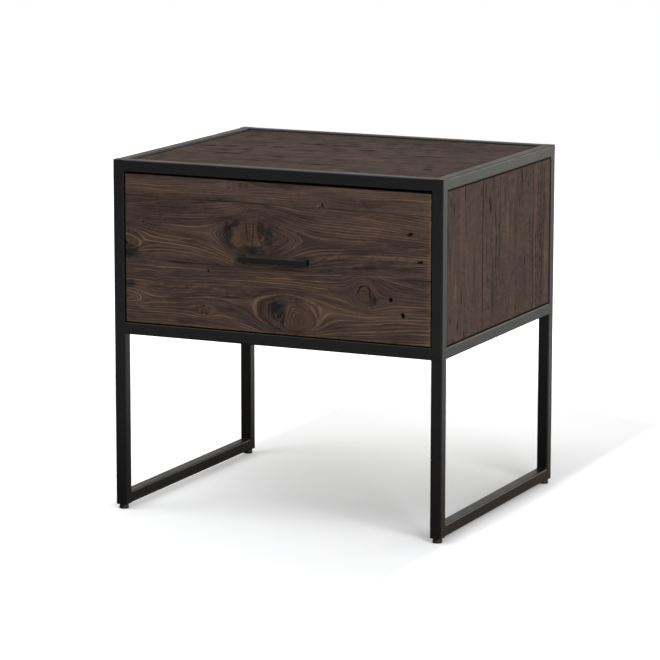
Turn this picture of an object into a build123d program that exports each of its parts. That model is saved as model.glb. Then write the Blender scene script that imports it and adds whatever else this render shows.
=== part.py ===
from build123d import *
import os
from math import atan, cos, degrees, pi, sqrt

# Side table with one drawer. A welded frame of square steel tube carries wood panels and a
# dovetailed drawer that runs on three-member ball slides. Each leg ends in a levelling foot.
# Millimetres: X to the right, Y to the back, Z up. The origin is on the floor, under the
# middle of the overall box with the handle counted in.

# Overall sizes
WIDTH = 600.0
DEPTH = 500.0
HEIGHT = 600.0
CABINET_HEIGHT = 296.0  # from the underside of the lower rails to the top of the frame

# Square tube of the frame
TUBE = 20.0
TUBE_WALL = 1.5
TUBE_RADIUS = 2.5
CAP_THICKNESS = 2.0  # plate that closes the top of a leg

# Levelling feet
FOOT_HEIGHT = 8.5
FOOT_DIAMETER = 16.5
FOOT_NECK = 15.0  # diameter of the pad's flat top
FOOT_EDGE = 1.6  # height of the bevel at the pad's lower edge
FOOT_EDGE_ANGLE = 45.0
FOOT_SIDES = 24  # flat sides that the round pad is drawn with
FOOT_CLEARANCE = 0.3
STUD_DIAMETER = 6.0
STUD_IN_PAD = 5.0
STUD_LENGTH = 24.0
INSERT_LENGTH = 18.0
INSERT_CLEARANCE = 0.1

# Wood panels that fill the frame
TOP_THICKNESS = 12.0
TOP_SET_DOWN = 2.0  # top face below the frame's upper faces
PANEL_THICKNESS = 12.0  # side and back panels
PANEL_RECESS = 1.0  # their face behind the frame's outer faces
PANEL_GAP = 1.0  # shadow gap between a panel and the tubes round it
BOARD_WIDTH = 76.0
GROOVE_WIDTH = 1.6
GROOVE_DEPTH = 0.8
BOTTOM_THICKNESS = 9.0
BOTTOM_SET_DOWN = 5.0  # bottom panel below the lower rails' upper faces

# Steel tabs welded to the rails, which the panels are screwed to
TAB_LENGTH = 30.0
TAB_REACH = 18.0
TAB_THICKNESS = 3.0
TAB_INSET = 80.0  # from a rail's end to the middle of its tab

# Flat-head wood screws
SCREW_HEAD = 7.0
SCREW_SHANK = 3.5
SCREW_HEAD_HEIGHT = 2.0
SCREW_COVER = 3.0  # wood left past the screw's tip
SCREW_CLEARANCE = 0.1
SMALL_ROUND_SIDES = 8  # screws and slide balls are drawn with flat sides

# Drawer front and handle
FRONT_THICKNESS = 18.0
FRONT_RECESS = 1.5
FRONT_SIDE_GAP = 2.0
FRONT_TOP_GAP = 3.0
FRONT_BOTTOM_GAP = 2.0
FRONT_CHAMFER = 0.8
HANDLE_LENGTH = 124.0
HANDLE_HEIGHT = 10.0
HANDLE_THICKNESS = 4.0
HANDLE_STANDOFF = 9.0
HANDLE_DROP = 3.0  # below the middle of the drawer front
HANDLE_END_ROUND = 2.5
HANDLE_EDGE_BEVEL = 0.6
POST_WIDTH = 8.0
HANDLE_SCREW = 4.0
HANDLE_SCREW_HEAD = 8.0
HANDLE_SCREW_HEAD_HEIGHT = 2.6
HANDLE_SCREW_GRIP = 7.0  # thread inside a post

# Drawer box
BOX_BACK_GAP = 46.5  # behind the box, up to the back panel
BOX_HEIGHT = 180.0
BOX_BOARD = 12.0
BOX_LIFT = 8.0  # box above the lower rails
TAIL_COUNT = 5
TAIL_SHARE = 0.6  # of the pitch, at the wide end of a tail
TAIL_TAPER = 2.0  # how much wider a tail is at its end than at its root
DRAWER_BOTTOM = 6.0
GROOVE_UP = 12.0  # groove for the drawer bottom above the lower edge
GROOVE_IN = 6.0
GROOVE_CLEARANCE = 0.2
FRONT_SCREW_INSET = 40.0

# Ball slides: the outer member is on the cabinet, the inner one on the drawer
SLIDE_STEP = 50.0  # slides are made in lengths of whole steps
SLIDE_HEIGHT = 45.0
SLIDE_THICKNESS = 12.7
SLIDE_STEEL = 1.2
SLIDE_LIFT = 70.0  # middle of the slide above the lower edge of the drawer box
SLIDE_SETBACK = 2.0  # behind the drawer front
SLIDE_SCREW_INSET = 40.0  # first and last screw from the slide's ends
SLIDE_SCREW_COUNT = 3
OUTER_BALL = 4.0
INNER_BALL = 3.5
BALL_CLEARANCE = 0.15
RACE_SPLIT = 0.6  # from the plane of a row of balls to the flange on either side
FLANGE = 3.4  # thickness of the middle member's flanges between two rows of balls
INNER_FLANGE = 2.6
CAGE_SHEET = 0.6
CAGE_CLEARANCE = 0.3
CAGE_LENGTH = 180.0
CAGE_MARGIN = 1.2  # cage sheet past the balls
BALL_COUNT = 3  # in each row of a cage
BUMPER_LENGTH = 5.0
BUMPER_HEIGHT = 18.0
BUMPER_DEPTH = 7.0
BATTEN_HEIGHT = 60.0

# Places that follow from the sizes above
handle_reach = HANDLE_THICKNESS + HANDLE_STANDOFF - FRONT_RECESS
front_y = (handle_reach - DEPTH) / 2
back_y = front_y + DEPTH
half_width = WIDTH / 2
opening_half = half_width - TUBE  # inner faces of the legs and side rails
inside_front = front_y + TUBE  # inner faces of the front and back rails
inside_back = back_y - TUBE
top_rail_z = HEIGHT - TUBE
lower_rail_z = HEIGHT - CABINET_HEIGHT
opening_bottom = lower_rail_z + TUBE
leg_top = HEIGHT - CAP_THICKNESS
panel_inner = half_width - PANEL_RECESS - PANEL_THICKNESS
back_panel_inner = back_y - PANEL_RECESS - PANEL_THICKNESS
front_face = front_y + FRONT_RECESS
front_low = opening_bottom + FRONT_BOTTOM_GAP
front_high = top_rail_z - FRONT_TOP_GAP
front_half = opening_half - FRONT_SIDE_GAP
handle_z = (front_low + front_high) / 2 - HANDLE_DROP
box_front = front_face + FRONT_THICKNESS
box_back = back_panel_inner - BOX_BACK_GAP
box_low = opening_bottom + BOX_LIFT
box_high = box_low + BOX_HEIGHT
box_half = opening_half - SLIDE_THICKNESS
slide_front = box_front + SLIDE_SETBACK
slide_z = box_low + SLIDE_LIFT
slide_length = (box_back - box_front) // SLIDE_STEP * SLIDE_STEP  # the longest that the box takes
member_length = slide_length - BUMPER_LENGTH - CAGE_CLEARANCE

SIDES = {"left": -1, "right": 1}
ENDS = {"front": front_y + TUBE / 2, "back": back_y - TUBE / 2}
parts = {}


def block(x, y, z):
    """A box between the two values given for each axis."""
    size = [high - low for low, high in (x, y, z)]
    middle = [(low + high) / 2 for low, high in (x, y, z)]
    return Pos(*middle) * Box(*size)


def both_sides(name, right_shape):
    """Keep a right-hand piece and its mirror image under left_ and right_ names."""
    parts["right_" + name] = right_shape
    parts["left_" + name] = mirror(right_shape, about=Plane.YZ)


def with_mirror(shapes):
    """The right-hand pieces and their mirror images in one list."""
    return shapes + [mirror(shape, about=Plane.YZ) for shape in shapes]


def frame_at(origin, drive, along):
    """A place with its Z on the drive direction and its X along a rail or board."""
    return Plane(origin=origin, x_dir=along, z_dir=drive).location


def rod(radius, length):
    """A thin round bar from the origin along +Z, drawn with flat sides."""
    return extrude(RegularPolygon(radius, SMALL_ROUND_SIDES), amount=length)


# Frame tubes

def tube(start, direction, along, length):
    """Square tube with rounded corners, from the middle of its first end."""
    inner = TUBE - 2 * TUBE_WALL
    section = RectangleRounded(TUBE, TUBE, TUBE_RADIUS)
    section -= Rectangle(inner, inner)
    return extrude(Plane(origin=start, x_dir=along, z_dir=direction) * section, amount=length)


def make_legs():
    """Four legs that run the whole height, their caps, and the threaded plugs for the feet."""
    caps = []
    inserts = []
    plug = TUBE - 2 * TUBE_WALL - 2 * INSERT_CLEARANCE
    bore = STUD_DIAMETER / 2 + FOOT_CLEARANCE
    for side, sign in SIDES.items():
        for end, y in ENDS.items():
            x = sign * (half_width - TUBE / 2)
            length = leg_top - FOOT_HEIGHT
            parts[f"{end}_{side}_leg"] = tube((x, y, FOOT_HEIGHT), (0, 0, 1), (1, 0, 0), length)
            cap = extrude(RectangleRounded(TUBE, TUBE, TUBE_RADIUS), amount=CAP_THICKNESS)
            caps.append(Pos(x, y, leg_top) * cap)
            insert = Rectangle(plug, plug) - RegularPolygon(bore, SMALL_ROUND_SIDES)
            inserts.append(Pos(x, y, FOOT_HEIGHT) * extrude(insert, amount=INSERT_LENGTH))
    parts["leg_top_caps"] = Compound(children=caps)
    parts["foot_inserts"] = Compound(children=inserts)


def make_rails():
    """Rails between the legs: base, lower and top ones at the sides, lower and top ones across."""
    levels = {"base": FOOT_HEIGHT, "lower": lower_rail_z, "top": top_rail_z}
    for side, sign in SIDES.items():
        x = sign * (half_width - TUBE / 2)
        for level, z in levels.items():
            start = (x, inside_front, z + TUBE / 2)
            parts[f"{side}_{level}_rail"] = tube(start, (0, 1, 0), (1, 0, 0), DEPTH - 2 * TUBE)
    for end, y in ENDS.items():
        for level in ("lower", "top"):
            start = (-opening_half, y, levels[level] + TUBE / 2)
            parts[f"{end}_{level}_rail"] = tube(start, (1, 0, 0), (0, 1, 0), 2 * opening_half)


def make_feet():
    """Round glides with a bevelled lower edge, each moulded onto a threaded stud."""
    pad_top = FOOT_HEIGHT - FOOT_CLEARANCE
    flank = pad_top - FOOT_EDGE
    slope = atan((FOOT_DIAMETER - FOOT_NECK) / 2 / flank)
    rim = RegularPolygon(FOOT_DIAMETER / 2, FOOT_SIDES)
    pad = extrude(rim, amount=flank, taper=degrees(slope))
    bevel = extrude(rim, amount=FOOT_EDGE, taper=FOOT_EDGE_ANGLE)
    pad = Pos(0, 0, FOOT_EDGE) * (pad + mirror(bevel, about=Plane.XY))
    seat = Pos(0, 0, pad_top - STUD_IN_PAD)
    pad -= seat * rod(STUD_DIAMETER / 2 + FOOT_CLEARANCE, STUD_IN_PAD)
    stud = seat * extrude(Circle(STUD_DIAMETER / 2), amount=STUD_LENGTH)
    for side, sign in SIDES.items():
        for end, y in ENDS.items():
            place = Pos(sign * (half_width - TUBE / 2), y, 0)
            parts[f"{end}_{side}_foot_pad"] = place * pad
            parts[f"{end}_{side}_foot_stud"] = place * stud


# Flat-head wood screws and the holes that take them

def flat_screw(length, room=0.0):
    """A screw with its head at the origin that drives along +Z; room widens it into its hole."""
    head = SCREW_HEAD / 2 + room
    shank = SCREW_SHANK / 2 + room
    slope = atan((head - shank) * cos(pi / SMALL_ROUND_SIDES) / SCREW_HEAD_HEIGHT)
    head_face = RegularPolygon(head, SMALL_ROUND_SIDES)
    cone = extrude(head_face, amount=SCREW_HEAD_HEIGHT, taper=degrees(slope))
    return cone + rod(shank, length + room)


def flat_hole(length):
    """The space a flat-head screw needs."""
    return flat_screw(length, SCREW_CLEARANCE)


# Panels, with the tabs and screws that hold them

def tab_places():
    """For each panel, the middle of each tab's free face, driving towards the panel."""
    x = opening_half - TAB_INSET
    y_low = inside_front + TAB_INSET
    y_high = inside_back - TAB_INSET
    reach = TAB_REACH / 2
    top_z = HEIGHT - TOP_SET_DOWN - TOP_THICKNESS - TAB_THICKNESS
    bottom_z = opening_bottom - BOTTOM_SET_DOWN - BOTTOM_THICKNESS - TAB_THICKNESS
    side_x = panel_inner - TAB_THICKNESS
    back_tab_y = back_panel_inner - TAB_THICKNESS
    high_z = top_rail_z - reach
    low_z = opening_bottom + reach
    up = [(s, y) for s in (-x, x) for y in (inside_front + reach, inside_back - reach)]
    side = [(y, z) for y in (y_low, y_high) for z in (low_z, high_z)]
    back = [(s, z) for s in (-x, x) for z in (low_z, high_z)]
    return {
        "top": [frame_at((s, y, top_z), (0, 0, 1), (1, 0, 0)) for s, y in up],
        "bottom": [frame_at((s, y, bottom_z), (0, 0, 1), (1, 0, 0)) for s, y in up],
        "right": [frame_at((side_x, y, z), (1, 0, 0), (0, 1, 0)) for y, z in side],
        "left": [frame_at((-side_x, y, z), (-1, 0, 0), (0, 1, 0)) for y, z in side],
        "back": [frame_at((s, back_tab_y, z), (0, 1, 0), (1, 0, 0)) for s, z in back],
    }


def board_grooves(low, high, z, face, outward):
    """V-grooves where the upright boards of a panel meet, cut into the face that looks outward."""
    count = round((high - low) / BOARD_WIDTH)
    width = (high - low) / count
    notch = Polygon((-GROOVE_WIDTH / 2, 0), (GROOVE_WIDTH / 2, 0), (0, -GROOVE_DEPTH), align=None)
    cutter = extrude(Plane.XY * notch, amount=z[1] - z[0], dir=(0, 0, 1))
    grooves = []
    for i in range(1, count):
        at = low + i * width
        if outward == "x":
            grooves.append(Pos(face, at, z[0]) * Rot(0, 0, -90) * cutter)
        else:
            grooves.append(Pos(at, face, z[0]) * cutter)
    return grooves


def make_panels():
    """Top, sides, back and bottom of the cabinet, screwed to tabs on the rails."""
    places = tab_places()
    panel_z = (opening_bottom + PANEL_GAP, top_rail_z - PANEL_GAP)
    across = (-opening_half + PANEL_GAP, opening_half - PANEL_GAP)
    along = (inside_front + PANEL_GAP, inside_back - PANEL_GAP)
    top_face = HEIGHT - TOP_SET_DOWN
    bottom_face = opening_bottom - BOTTOM_SET_DOWN
    side_face = half_width - PANEL_RECESS
    back_face = back_y - PANEL_RECESS
    depths = {
        "top": TOP_THICKNESS,
        "bottom": BOTTOM_THICKNESS,
        "right": PANEL_THICKNESS,
        "left": PANEL_THICKNESS,
        "back": PANEL_THICKNESS,
    }
    right = block((panel_inner, side_face), along, panel_z)
    right -= board_grooves(*along, panel_z, side_face, "x")
    back = block(across, (back_panel_inner, back_face), panel_z)
    back -= board_grooves(*across, panel_z, back_face, "y")
    panels = {
        "top": block(across, along, (top_face - TOP_THICKNESS, top_face)),
        "bottom": block(across, along, (bottom_face - BOTTOM_THICKNESS, bottom_face)),
        "right": right,
        "left": mirror(right, about=Plane.YZ),
        "back": back,
    }
    names = {"right": "right_side_panel", "left": "left_side_panel"}
    tabs = []
    screws = []
    plate = Box(TAB_LENGTH, TAB_REACH, TAB_THICKNESS, align=(Align.CENTER, Align.CENTER, Align.MIN))
    for key, panel in panels.items():
        length = TAB_THICKNESS + depths[key] - SCREW_COVER
        holes = [place * flat_hole(length) for place in places[key]]
        if key in SIDES:
            holes += [place * flat_hole(cabinet_screw_length()) for place in cabinet_screw_places(key)]
        parts[names.get(key, f"{key}_panel")] = panel - holes
        tabs += [place * (plate - flat_hole(length)) for place in places[key]]
        screws += [place * flat_screw(length) for place in places[key]]
    parts["panel_tabs"] = Compound(children=tabs)
    parts["panel_screws"] = Compound(children=screws)


# Drawer box, front and handle

def tails(x, root, end):
    """Dovetails on a board's end: narrow at the root, wide at the end, spread over the height."""
    pitch = BOX_HEIGHT / TAIL_COUNT
    wide = pitch * TAIL_SHARE / 2
    narrow = wide - TAIL_TAPER / 2
    shapes = []
    for i in range(TAIL_COUNT):
        z = box_low + (i + 0.5) * pitch
        outline = Polygon(
            (root, z - narrow), (end, z - wide), (end, z + wide), (root, z + narrow), align=None
        )
        face = Plane.YZ.offset(x[0]) * outline
        shapes.append(extrude(face, amount=x[1] - x[0], dir=(1, 0, 0)))
    return shapes


def front_screw_places():
    """Screws from inside the drawer that hold its front to the box."""
    x = box_half - BOX_BOARD - FRONT_SCREW_INSET
    levels = (box_low + FRONT_SCREW_INSET, box_high - FRONT_SCREW_INSET)
    y = box_front + BOX_BOARD
    return [frame_at((s, y, z), (0, -1, 0), (1, 0, 0)) for s in (-x, x) for z in levels]


def handle_screw_places():
    """Machine screws from inside the drawer, through both fronts, into the handle's posts."""
    x = HANDLE_LENGTH / 2 - POST_WIDTH / 2
    y = box_front + BOX_BOARD
    return [frame_at((s, y, handle_z), (0, -1, 0), (1, 0, 0)) for s in (-x, x)]


def handle_screw(room=0.0):
    """Pan-head machine screw with its head's seat at the origin, driving along +Z."""
    shank = rod(HANDLE_SCREW / 2 + room, BOX_BOARD + FRONT_THICKNESS + HANDLE_SCREW_GRIP + room)
    head = rod(HANDLE_SCREW_HEAD / 2, HANDLE_SCREW_HEAD_HEIGHT)
    return shank + Pos(0, 0, -HANDLE_SCREW_HEAD_HEIGHT) * head


def make_drawer_box():
    """Dovetailed box with its bottom let into grooves on all four sides."""
    x = (box_half - BOX_BOARD, box_half)
    z = (box_low, box_high)
    front_root = box_front + BOX_BOARD
    back_root = box_back - BOX_BOARD
    joints = tails(x, front_root, box_front) + tails(x, back_root, box_back)
    bottom_z = box_low + GROOVE_UP
    groove = block(
        (-box_half + BOX_BOARD - GROOVE_IN, box_half - BOX_BOARD + GROOVE_IN),
        (front_root - GROOVE_IN, back_root + GROOVE_IN),
        (bottom_z, bottom_z + DRAWER_BOTTOM + GROOVE_CLEARANCE),
    )
    reach = GROOVE_IN - GROOVE_CLEARANCE
    parts["drawer_bottom"] = block(
        (-x[0] - reach, x[0] + reach),
        (front_root - reach, back_root + reach),
        (bottom_z, bottom_z + DRAWER_BOTTOM),
    )
    right = block(x, (front_root, back_root), z) + joints - groove
    right -= [place * flat_hole(drawer_screw_length()) for place in drawer_screw_places()]
    both_sides("drawer_side", right)
    full = (-box_half, box_half)
    length = BOX_BOARD + FRONT_THICKNESS - SCREW_COVER
    front_holes = [place * flat_hole(length) for place in front_screw_places()]
    handle_holes = [place * handle_screw(SCREW_CLEARANCE) for place in handle_screw_places()]
    inner_front = block(full, (box_front, front_root), z) - with_mirror(joints) - groove
    parts["drawer_inner_front"] = inner_front - front_holes - handle_holes
    parts["drawer_back"] = block(full, (back_root, box_back), z) - with_mirror(joints) - groove
    front = block((-front_half, front_half), (front_face, box_front), (front_low, front_high))
    front = chamfer(front.faces().sort_by(Axis.Y)[0].edges(), FRONT_CHAMFER)
    parts["drawer_front"] = front - front_holes - handle_holes
    screws = [place * flat_screw(length) for place in front_screw_places()]
    parts["drawer_front_screws"] = Compound(children=screws)


def make_handle():
    """Flat bar on two posts at its ends, held by screws from inside the drawer."""
    bar_back = front_face - HANDLE_STANDOFF
    z = (handle_z - HANDLE_HEIGHT / 2, handle_z + HANDLE_HEIGHT / 2)
    end = HANDLE_LENGTH / 2
    bar = block((-end, end), (bar_back - HANDLE_THICKNESS, bar_back), z)
    corners = bar.faces().sort_by(Axis.Y)[0].edges().filter_by(Axis.Z)
    bar = fillet(corners, HANDLE_END_ROUND)
    bar = chamfer(bar.faces().sort_by(Axis.Y)[0].edges().filter_by(Axis.X), HANDLE_EDGE_BEVEL)
    parts["handle_bar"] = bar
    post = block((end - POST_WIDTH, end), (bar_back, front_face), z)
    post -= [place * handle_screw(SCREW_CLEARANCE) for place in handle_screw_places()]
    both_sides("handle_post", post)
    parts["handle_screws"] = Compound(children=[place * handle_screw() for place in handle_screw_places()])


# Ball slides. A section is drawn in (u, v): u from the cabinet towards the drawer, v upwards.

outer_race = OUTER_BALL / 2 + BALL_CLEARANCE
inner_race = INNER_BALL / 2 + BALL_CLEARANCE
outer_cage_u = SLIDE_STEEL + CAGE_CLEARANCE
middle_u = outer_cage_u + CAGE_SHEET + CAGE_CLEARANCE
inner_cage_u = middle_u + SLIDE_STEEL + CAGE_CLEARANCE
outer_ball_u = middle_u + outer_race + CAGE_CLEARANCE
outer_ball_v = SLIDE_HEIGHT / 2 - SLIDE_STEEL - outer_race
inner_ball_v = outer_ball_v - 2 * RACE_SPLIT - FLANGE
inner_web_u = SLIDE_THICKNESS - SLIDE_STEEL
inner_ball_u = inner_web_u - CAGE_MARGIN - inner_race


def section_block(u, v):
    """Rectangle of a slide's section between the two values given for u and v."""
    middle = ((u[0] + u[1]) / 2, (v[0] + v[1]) / 2)
    return Pos(*middle) * Rectangle(u[1] - u[0], v[1] - v[0])


def channel(web, flange_u, flange_v):
    """A web with a flange at the top and one at the bottom."""
    section = section_block(web, (-flange_v[1], flange_v[1]))
    section += section_block(flange_u, flange_v)
    return section + section_block(flange_u, (-flange_v[1], -flange_v[0]))


def races(ball_u, ball_v, radius):
    """The two grooves that a pair of ball rows runs in."""
    groove = RegularPolygon(radius, SMALL_ROUND_SIDES, major_radius=False)
    return [Pos(ball_u, sign * ball_v) * groove for sign in (-1, 1)]


def run(section, start, length):
    """Extrude a section of the right-hand slide towards the back."""
    plane = Plane(origin=(opening_half, start, slide_z), x_dir=(-1, 0, 0), z_dir=(0, 1, 0))
    return extrude(plane * section, amount=length)


def slide_screw_stations():
    """Places of the screws along a slide, evenly spread."""
    first = slide_front + SLIDE_SCREW_INSET
    pitch = (slide_length - 2 * SLIDE_SCREW_INSET) / (SLIDE_SCREW_COUNT - 1)
    return [first + i * pitch for i in range(SLIDE_SCREW_COUNT)]


def cabinet_screw_length():
    """Through the slide's web and the batten, into the side panel."""
    return SLIDE_STEEL + panel_inner - opening_half + PANEL_THICKNESS - SCREW_COVER


def cabinet_screw_places(side):
    """Heads on the outer member's web, driving outwards."""
    sign = SIDES[side]
    x = sign * (opening_half - SLIDE_STEEL)
    return [frame_at((x, y, slide_z), (sign, 0, 0), (0, 1, 0)) for y in slide_screw_stations()]


def drawer_screw_length():
    """Through the inner member's web into the drawer side."""
    return SLIDE_STEEL + BOX_BOARD - SCREW_COVER


def drawer_screw_places():
    """Heads on the right-hand inner member's web, driving into the drawer side."""
    x = box_half + SLIDE_STEEL
    return [frame_at((x, y, slide_z), (-1, 0, 0), (0, 1, 0)) for y in slide_screw_stations()]


def make_slide_members():
    """Three nested channels on each side, with races for two pairs of ball rows."""
    outer = channel(
        (0, SLIDE_STEEL),
        (0, outer_ball_u + outer_race + CAGE_MARGIN),
        (outer_ball_v + RACE_SPLIT, SLIDE_HEIGHT / 2),
    )
    outer -= races(outer_ball_u, outer_ball_v, outer_race)
    middle = channel(
        (middle_u, middle_u + SLIDE_STEEL),
        (middle_u, inner_ball_u + inner_race + CAGE_MARGIN / 2),
        (inner_ball_v + RACE_SPLIT, outer_ball_v - RACE_SPLIT),
    )
    middle -= races(outer_ball_u, outer_ball_v, outer_race)
    middle -= races(inner_ball_u, inner_ball_v, inner_race)
    inner_top = inner_ball_v - RACE_SPLIT
    inner = channel(
        (inner_web_u, SLIDE_THICKNESS),
        (inner_ball_u - inner_race - CAGE_MARGIN / 2, SLIDE_THICKNESS),
        (inner_top - INNER_FLANGE, inner_top),
    )
    inner -= races(inner_ball_u, inner_ball_v, inner_race)
    cabinet_holes = [place * flat_hole(cabinet_screw_length()) for place in cabinet_screw_places("right")]
    drawer_holes = [place * flat_hole(drawer_screw_length()) for place in drawer_screw_places()]
    both_sides("outer_slide", run(outer, slide_front, slide_length) - cabinet_holes)
    both_sides("middle_slide", run(middle, slide_front, member_length))
    both_sides("inner_slide", run(inner, slide_front, member_length) - drawer_holes)
    batten_z = (slide_z - BATTEN_HEIGHT / 2, slide_z + BATTEN_HEIGHT / 2)
    batten = block((opening_half, panel_inner), (inside_front, inside_back), batten_z)
    both_sides("slide_batten", batten - cabinet_holes)
    bumper = section_block((SLIDE_STEEL, BUMPER_DEPTH), (-BUMPER_HEIGHT / 2, BUMPER_HEIGHT / 2))
    bumper_start = slide_front + slide_length - BUMPER_LENGTH
    parts["slide_bumpers"] = Compound(children=with_mirror([run(bumper, bumper_start, BUMPER_LENGTH)]))


def ball_places(ball_u, ball_v):
    """Middles of the balls in the right-hand slide's two rows."""
    x = opening_half - ball_u
    pitch = CAGE_LENGTH / BALL_COUNT
    first = slide_front + member_length / 2 - CAGE_LENGTH / 2 + pitch / 2
    stations = [first + i * pitch for i in range(BALL_COUNT)]
    return [(x, y, slide_z + sign * ball_v) for y in stations for sign in (-1, 1)]


def slide_ball(diameter):
    """A ball as a cube with all its edges bevelled, whose corners reach the ball's surface."""
    edge = diameter / sqrt(5 + 2 * sqrt(2))
    cube = edge * (1 + sqrt(2))
    return chamfer(Box(cube, cube, cube).edges(), edge / sqrt(2))


def make_balls(stage, web_u, ball_u, ball_v, ball):
    """A bent-sheet cage and its balls, between two members of each slide."""
    sheet = CAGE_SHEET / 2
    section = channel(
        (web_u, web_u + CAGE_SHEET),
        (web_u, ball_u + ball / 2 + BALL_CLEARANCE + CAGE_MARGIN / 2),
        (ball_v - sheet, ball_v + sheet),
    )
    places = [Pos(*place) for place in ball_places(ball_u, ball_v)]
    cage = run(section, slide_front + (member_length - CAGE_LENGTH) / 2, CAGE_LENGTH)
    hole = Pos(0, 0, -CAGE_SHEET) * rod(ball / 2 + BALL_CLEARANCE, 2 * CAGE_SHEET)
    cage -= [place * hole for place in places]
    parts[f"{stage}_slide_cages"] = Compound(children=with_mirror([cage]))
    balls = [place * slide_ball(ball) for place in places]
    parts[f"{stage}_slide_balls"] = Compound(children=with_mirror(balls))


def make_slide_screws():
    """Screws that hold the outer members to the cabinet and the inner ones to the drawer."""
    cabinet = [place * flat_screw(cabinet_screw_length()) for place in cabinet_screw_places("right")]
    drawer = [place * flat_screw(drawer_screw_length()) for place in drawer_screw_places()]
    parts["cabinet_slide_screws"] = Compound(children=with_mirror(cabinet))
    parts["drawer_slide_screws"] = Compound(children=with_mirror(drawer))


make_legs()
make_rails()
make_feet()
make_panels()
make_drawer_box()
make_handle()
make_slide_members()
make_balls("outer", outer_cage_u, outer_ball_u, outer_ball_v, OUTER_BALL)
make_balls("inner", inner_cage_u, inner_ball_u, inner_ball_v, INNER_BALL)
make_slide_screws()

os.makedirs("parts", exist_ok=True)
for name, shape in parts.items():
    export_step(shape, f"parts/{name}.step")
print(len(parts), "nodes written")
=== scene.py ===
# %% [markdown]
# # A side table with one drawer
#
# The table is a welded frame of square steel tube, painted satin black. Panels of dark-stained reclaimed
# pine fill it, and a wide drawer with a flat black handle runs on steel ball slides. The construction
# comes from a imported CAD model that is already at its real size. This script gives every piece its
# finish and adds what only shows in the looks: grain, knots, nail holes, weld beads and screw heads.

from math import cos, pi, radians, sin

import bmesh
import bpy
import numpy as np
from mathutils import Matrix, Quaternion, Vector


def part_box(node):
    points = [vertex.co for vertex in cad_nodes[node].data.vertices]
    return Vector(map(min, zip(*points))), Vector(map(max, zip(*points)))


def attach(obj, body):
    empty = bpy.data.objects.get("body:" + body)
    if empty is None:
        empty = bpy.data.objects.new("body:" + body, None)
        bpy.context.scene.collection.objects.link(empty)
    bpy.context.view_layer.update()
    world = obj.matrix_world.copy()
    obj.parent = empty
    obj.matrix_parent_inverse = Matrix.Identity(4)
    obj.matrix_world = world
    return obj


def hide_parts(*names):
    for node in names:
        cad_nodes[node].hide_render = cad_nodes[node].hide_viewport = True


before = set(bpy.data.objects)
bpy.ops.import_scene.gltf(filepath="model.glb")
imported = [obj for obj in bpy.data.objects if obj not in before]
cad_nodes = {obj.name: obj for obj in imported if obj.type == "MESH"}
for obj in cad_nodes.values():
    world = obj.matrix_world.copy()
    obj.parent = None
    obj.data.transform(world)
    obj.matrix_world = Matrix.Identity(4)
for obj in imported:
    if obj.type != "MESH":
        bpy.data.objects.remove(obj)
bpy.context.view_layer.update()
MM = 0.001


# %% [markdown]
# ## Camera
#
# The camera's place was found by fitting the frame's straight edges to the picture. A long lens from
# nearly six metres away gives the quiet perspective of a catalogue shot. Blender wants the focal length
# in millimetres of its sensor, so the fitted length in pixels is scaled by the sensor's width. The
# camera could be turned by eye, but a fit puts each edge where the picture has it.

# %% Place the camera
IMAGE_PIXELS = 660
FOCAL_PIXELS = 3369.0
SENSOR_WIDTH = 36.0
CAMERA_AZIMUTH = radians(24.720)
CAMERA_ELEVATION = radians(10.358)
CAMERA_ROLL = radians(0.077)
CAMERA_PLACE = Vector((2.37072, -5.17510, 1.33265))


def add_object(name, data):
    """Put new data into the scene as an object."""
    thing = bpy.data.objects.new(name, data)
    bpy.context.scene.collection.objects.link(thing)
    return thing


def look_along(thing, place, direction, roll=0.0):
    """Set a camera or a light at a place and turn it to a direction."""
    thing.location = place
    thing.rotation_mode = "QUATERNION"
    thing.rotation_quaternion = direction.to_track_quat("-Z", "Y") @ Quaternion((0, 0, 1), roll)


def make_camera():
    """A camera that looks down at the table from the front right."""
    data = bpy.data.cameras.new("camera")
    data.sensor_width = SENSOR_WIDTH
    data.lens = FOCAL_PIXELS / IMAGE_PIXELS * SENSOR_WIDTH
    camera = add_object("camera", data)
    level = cos(CAMERA_ELEVATION)
    back = Vector((sin(CAMERA_AZIMUTH) * level, -cos(CAMERA_AZIMUTH) * level, sin(CAMERA_ELEVATION)))
    look_along(camera, CAMERA_PLACE, -back, CAMERA_ROLL)
    bpy.context.scene.camera = camera
    return camera


camera = make_camera()
bpy.context.scene.view_settings.view_transform = "Standard"
print("Camera lens", round(camera.data.lens, 2), "mm")

# %% [markdown]
# ## Node helpers
#
# Shaders and Geometry Nodes are both node trees, so one helper adds a node to either kind. What a node
# puts out is wrapped as a value. Values are added and multiplied like numbers, and each such step adds a
# node. So a finish reads like a formula.

# %% Add nodes and do sums with them
class Value:
    """What a node puts out."""

    def __init__(self, socket):
        self.socket = socket
        self.tree = socket.id_data

    def __add__(self, other):
        return maths("ADD", self, other)

    def __sub__(self, other):
        return maths("SUBTRACT", self, other)

    def __rsub__(self, other):
        return maths("SUBTRACT", other, self)

    def __mul__(self, other):
        return maths("MULTIPLY", self, other)


def fill(node, inputs):
    """Give a node's inputs their numbers or links."""
    for name, value in inputs.items():
        if isinstance(value, Value):
            value.tree.links.new(value.socket, node.inputs[name])
        else:
            node.inputs[name].default_value = value


def add_node(tree, kind, inputs=None, **settings):
    """Add a node, set its options and fill its inputs."""
    node = tree.nodes.new(kind)
    for name, value in settings.items():
        setattr(node, name, value)
    fill(node, inputs or {})
    return node


def output(tree, kind, inputs=None, name=0, **settings):
    """Add a node and return one of its outputs."""
    return Value(add_node(tree, kind, inputs, **settings).outputs[name])


def tree_of(terms):
    """The node tree that the values among some terms belong to."""
    return next(term.tree for term in terms if isinstance(term, Value))


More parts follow.
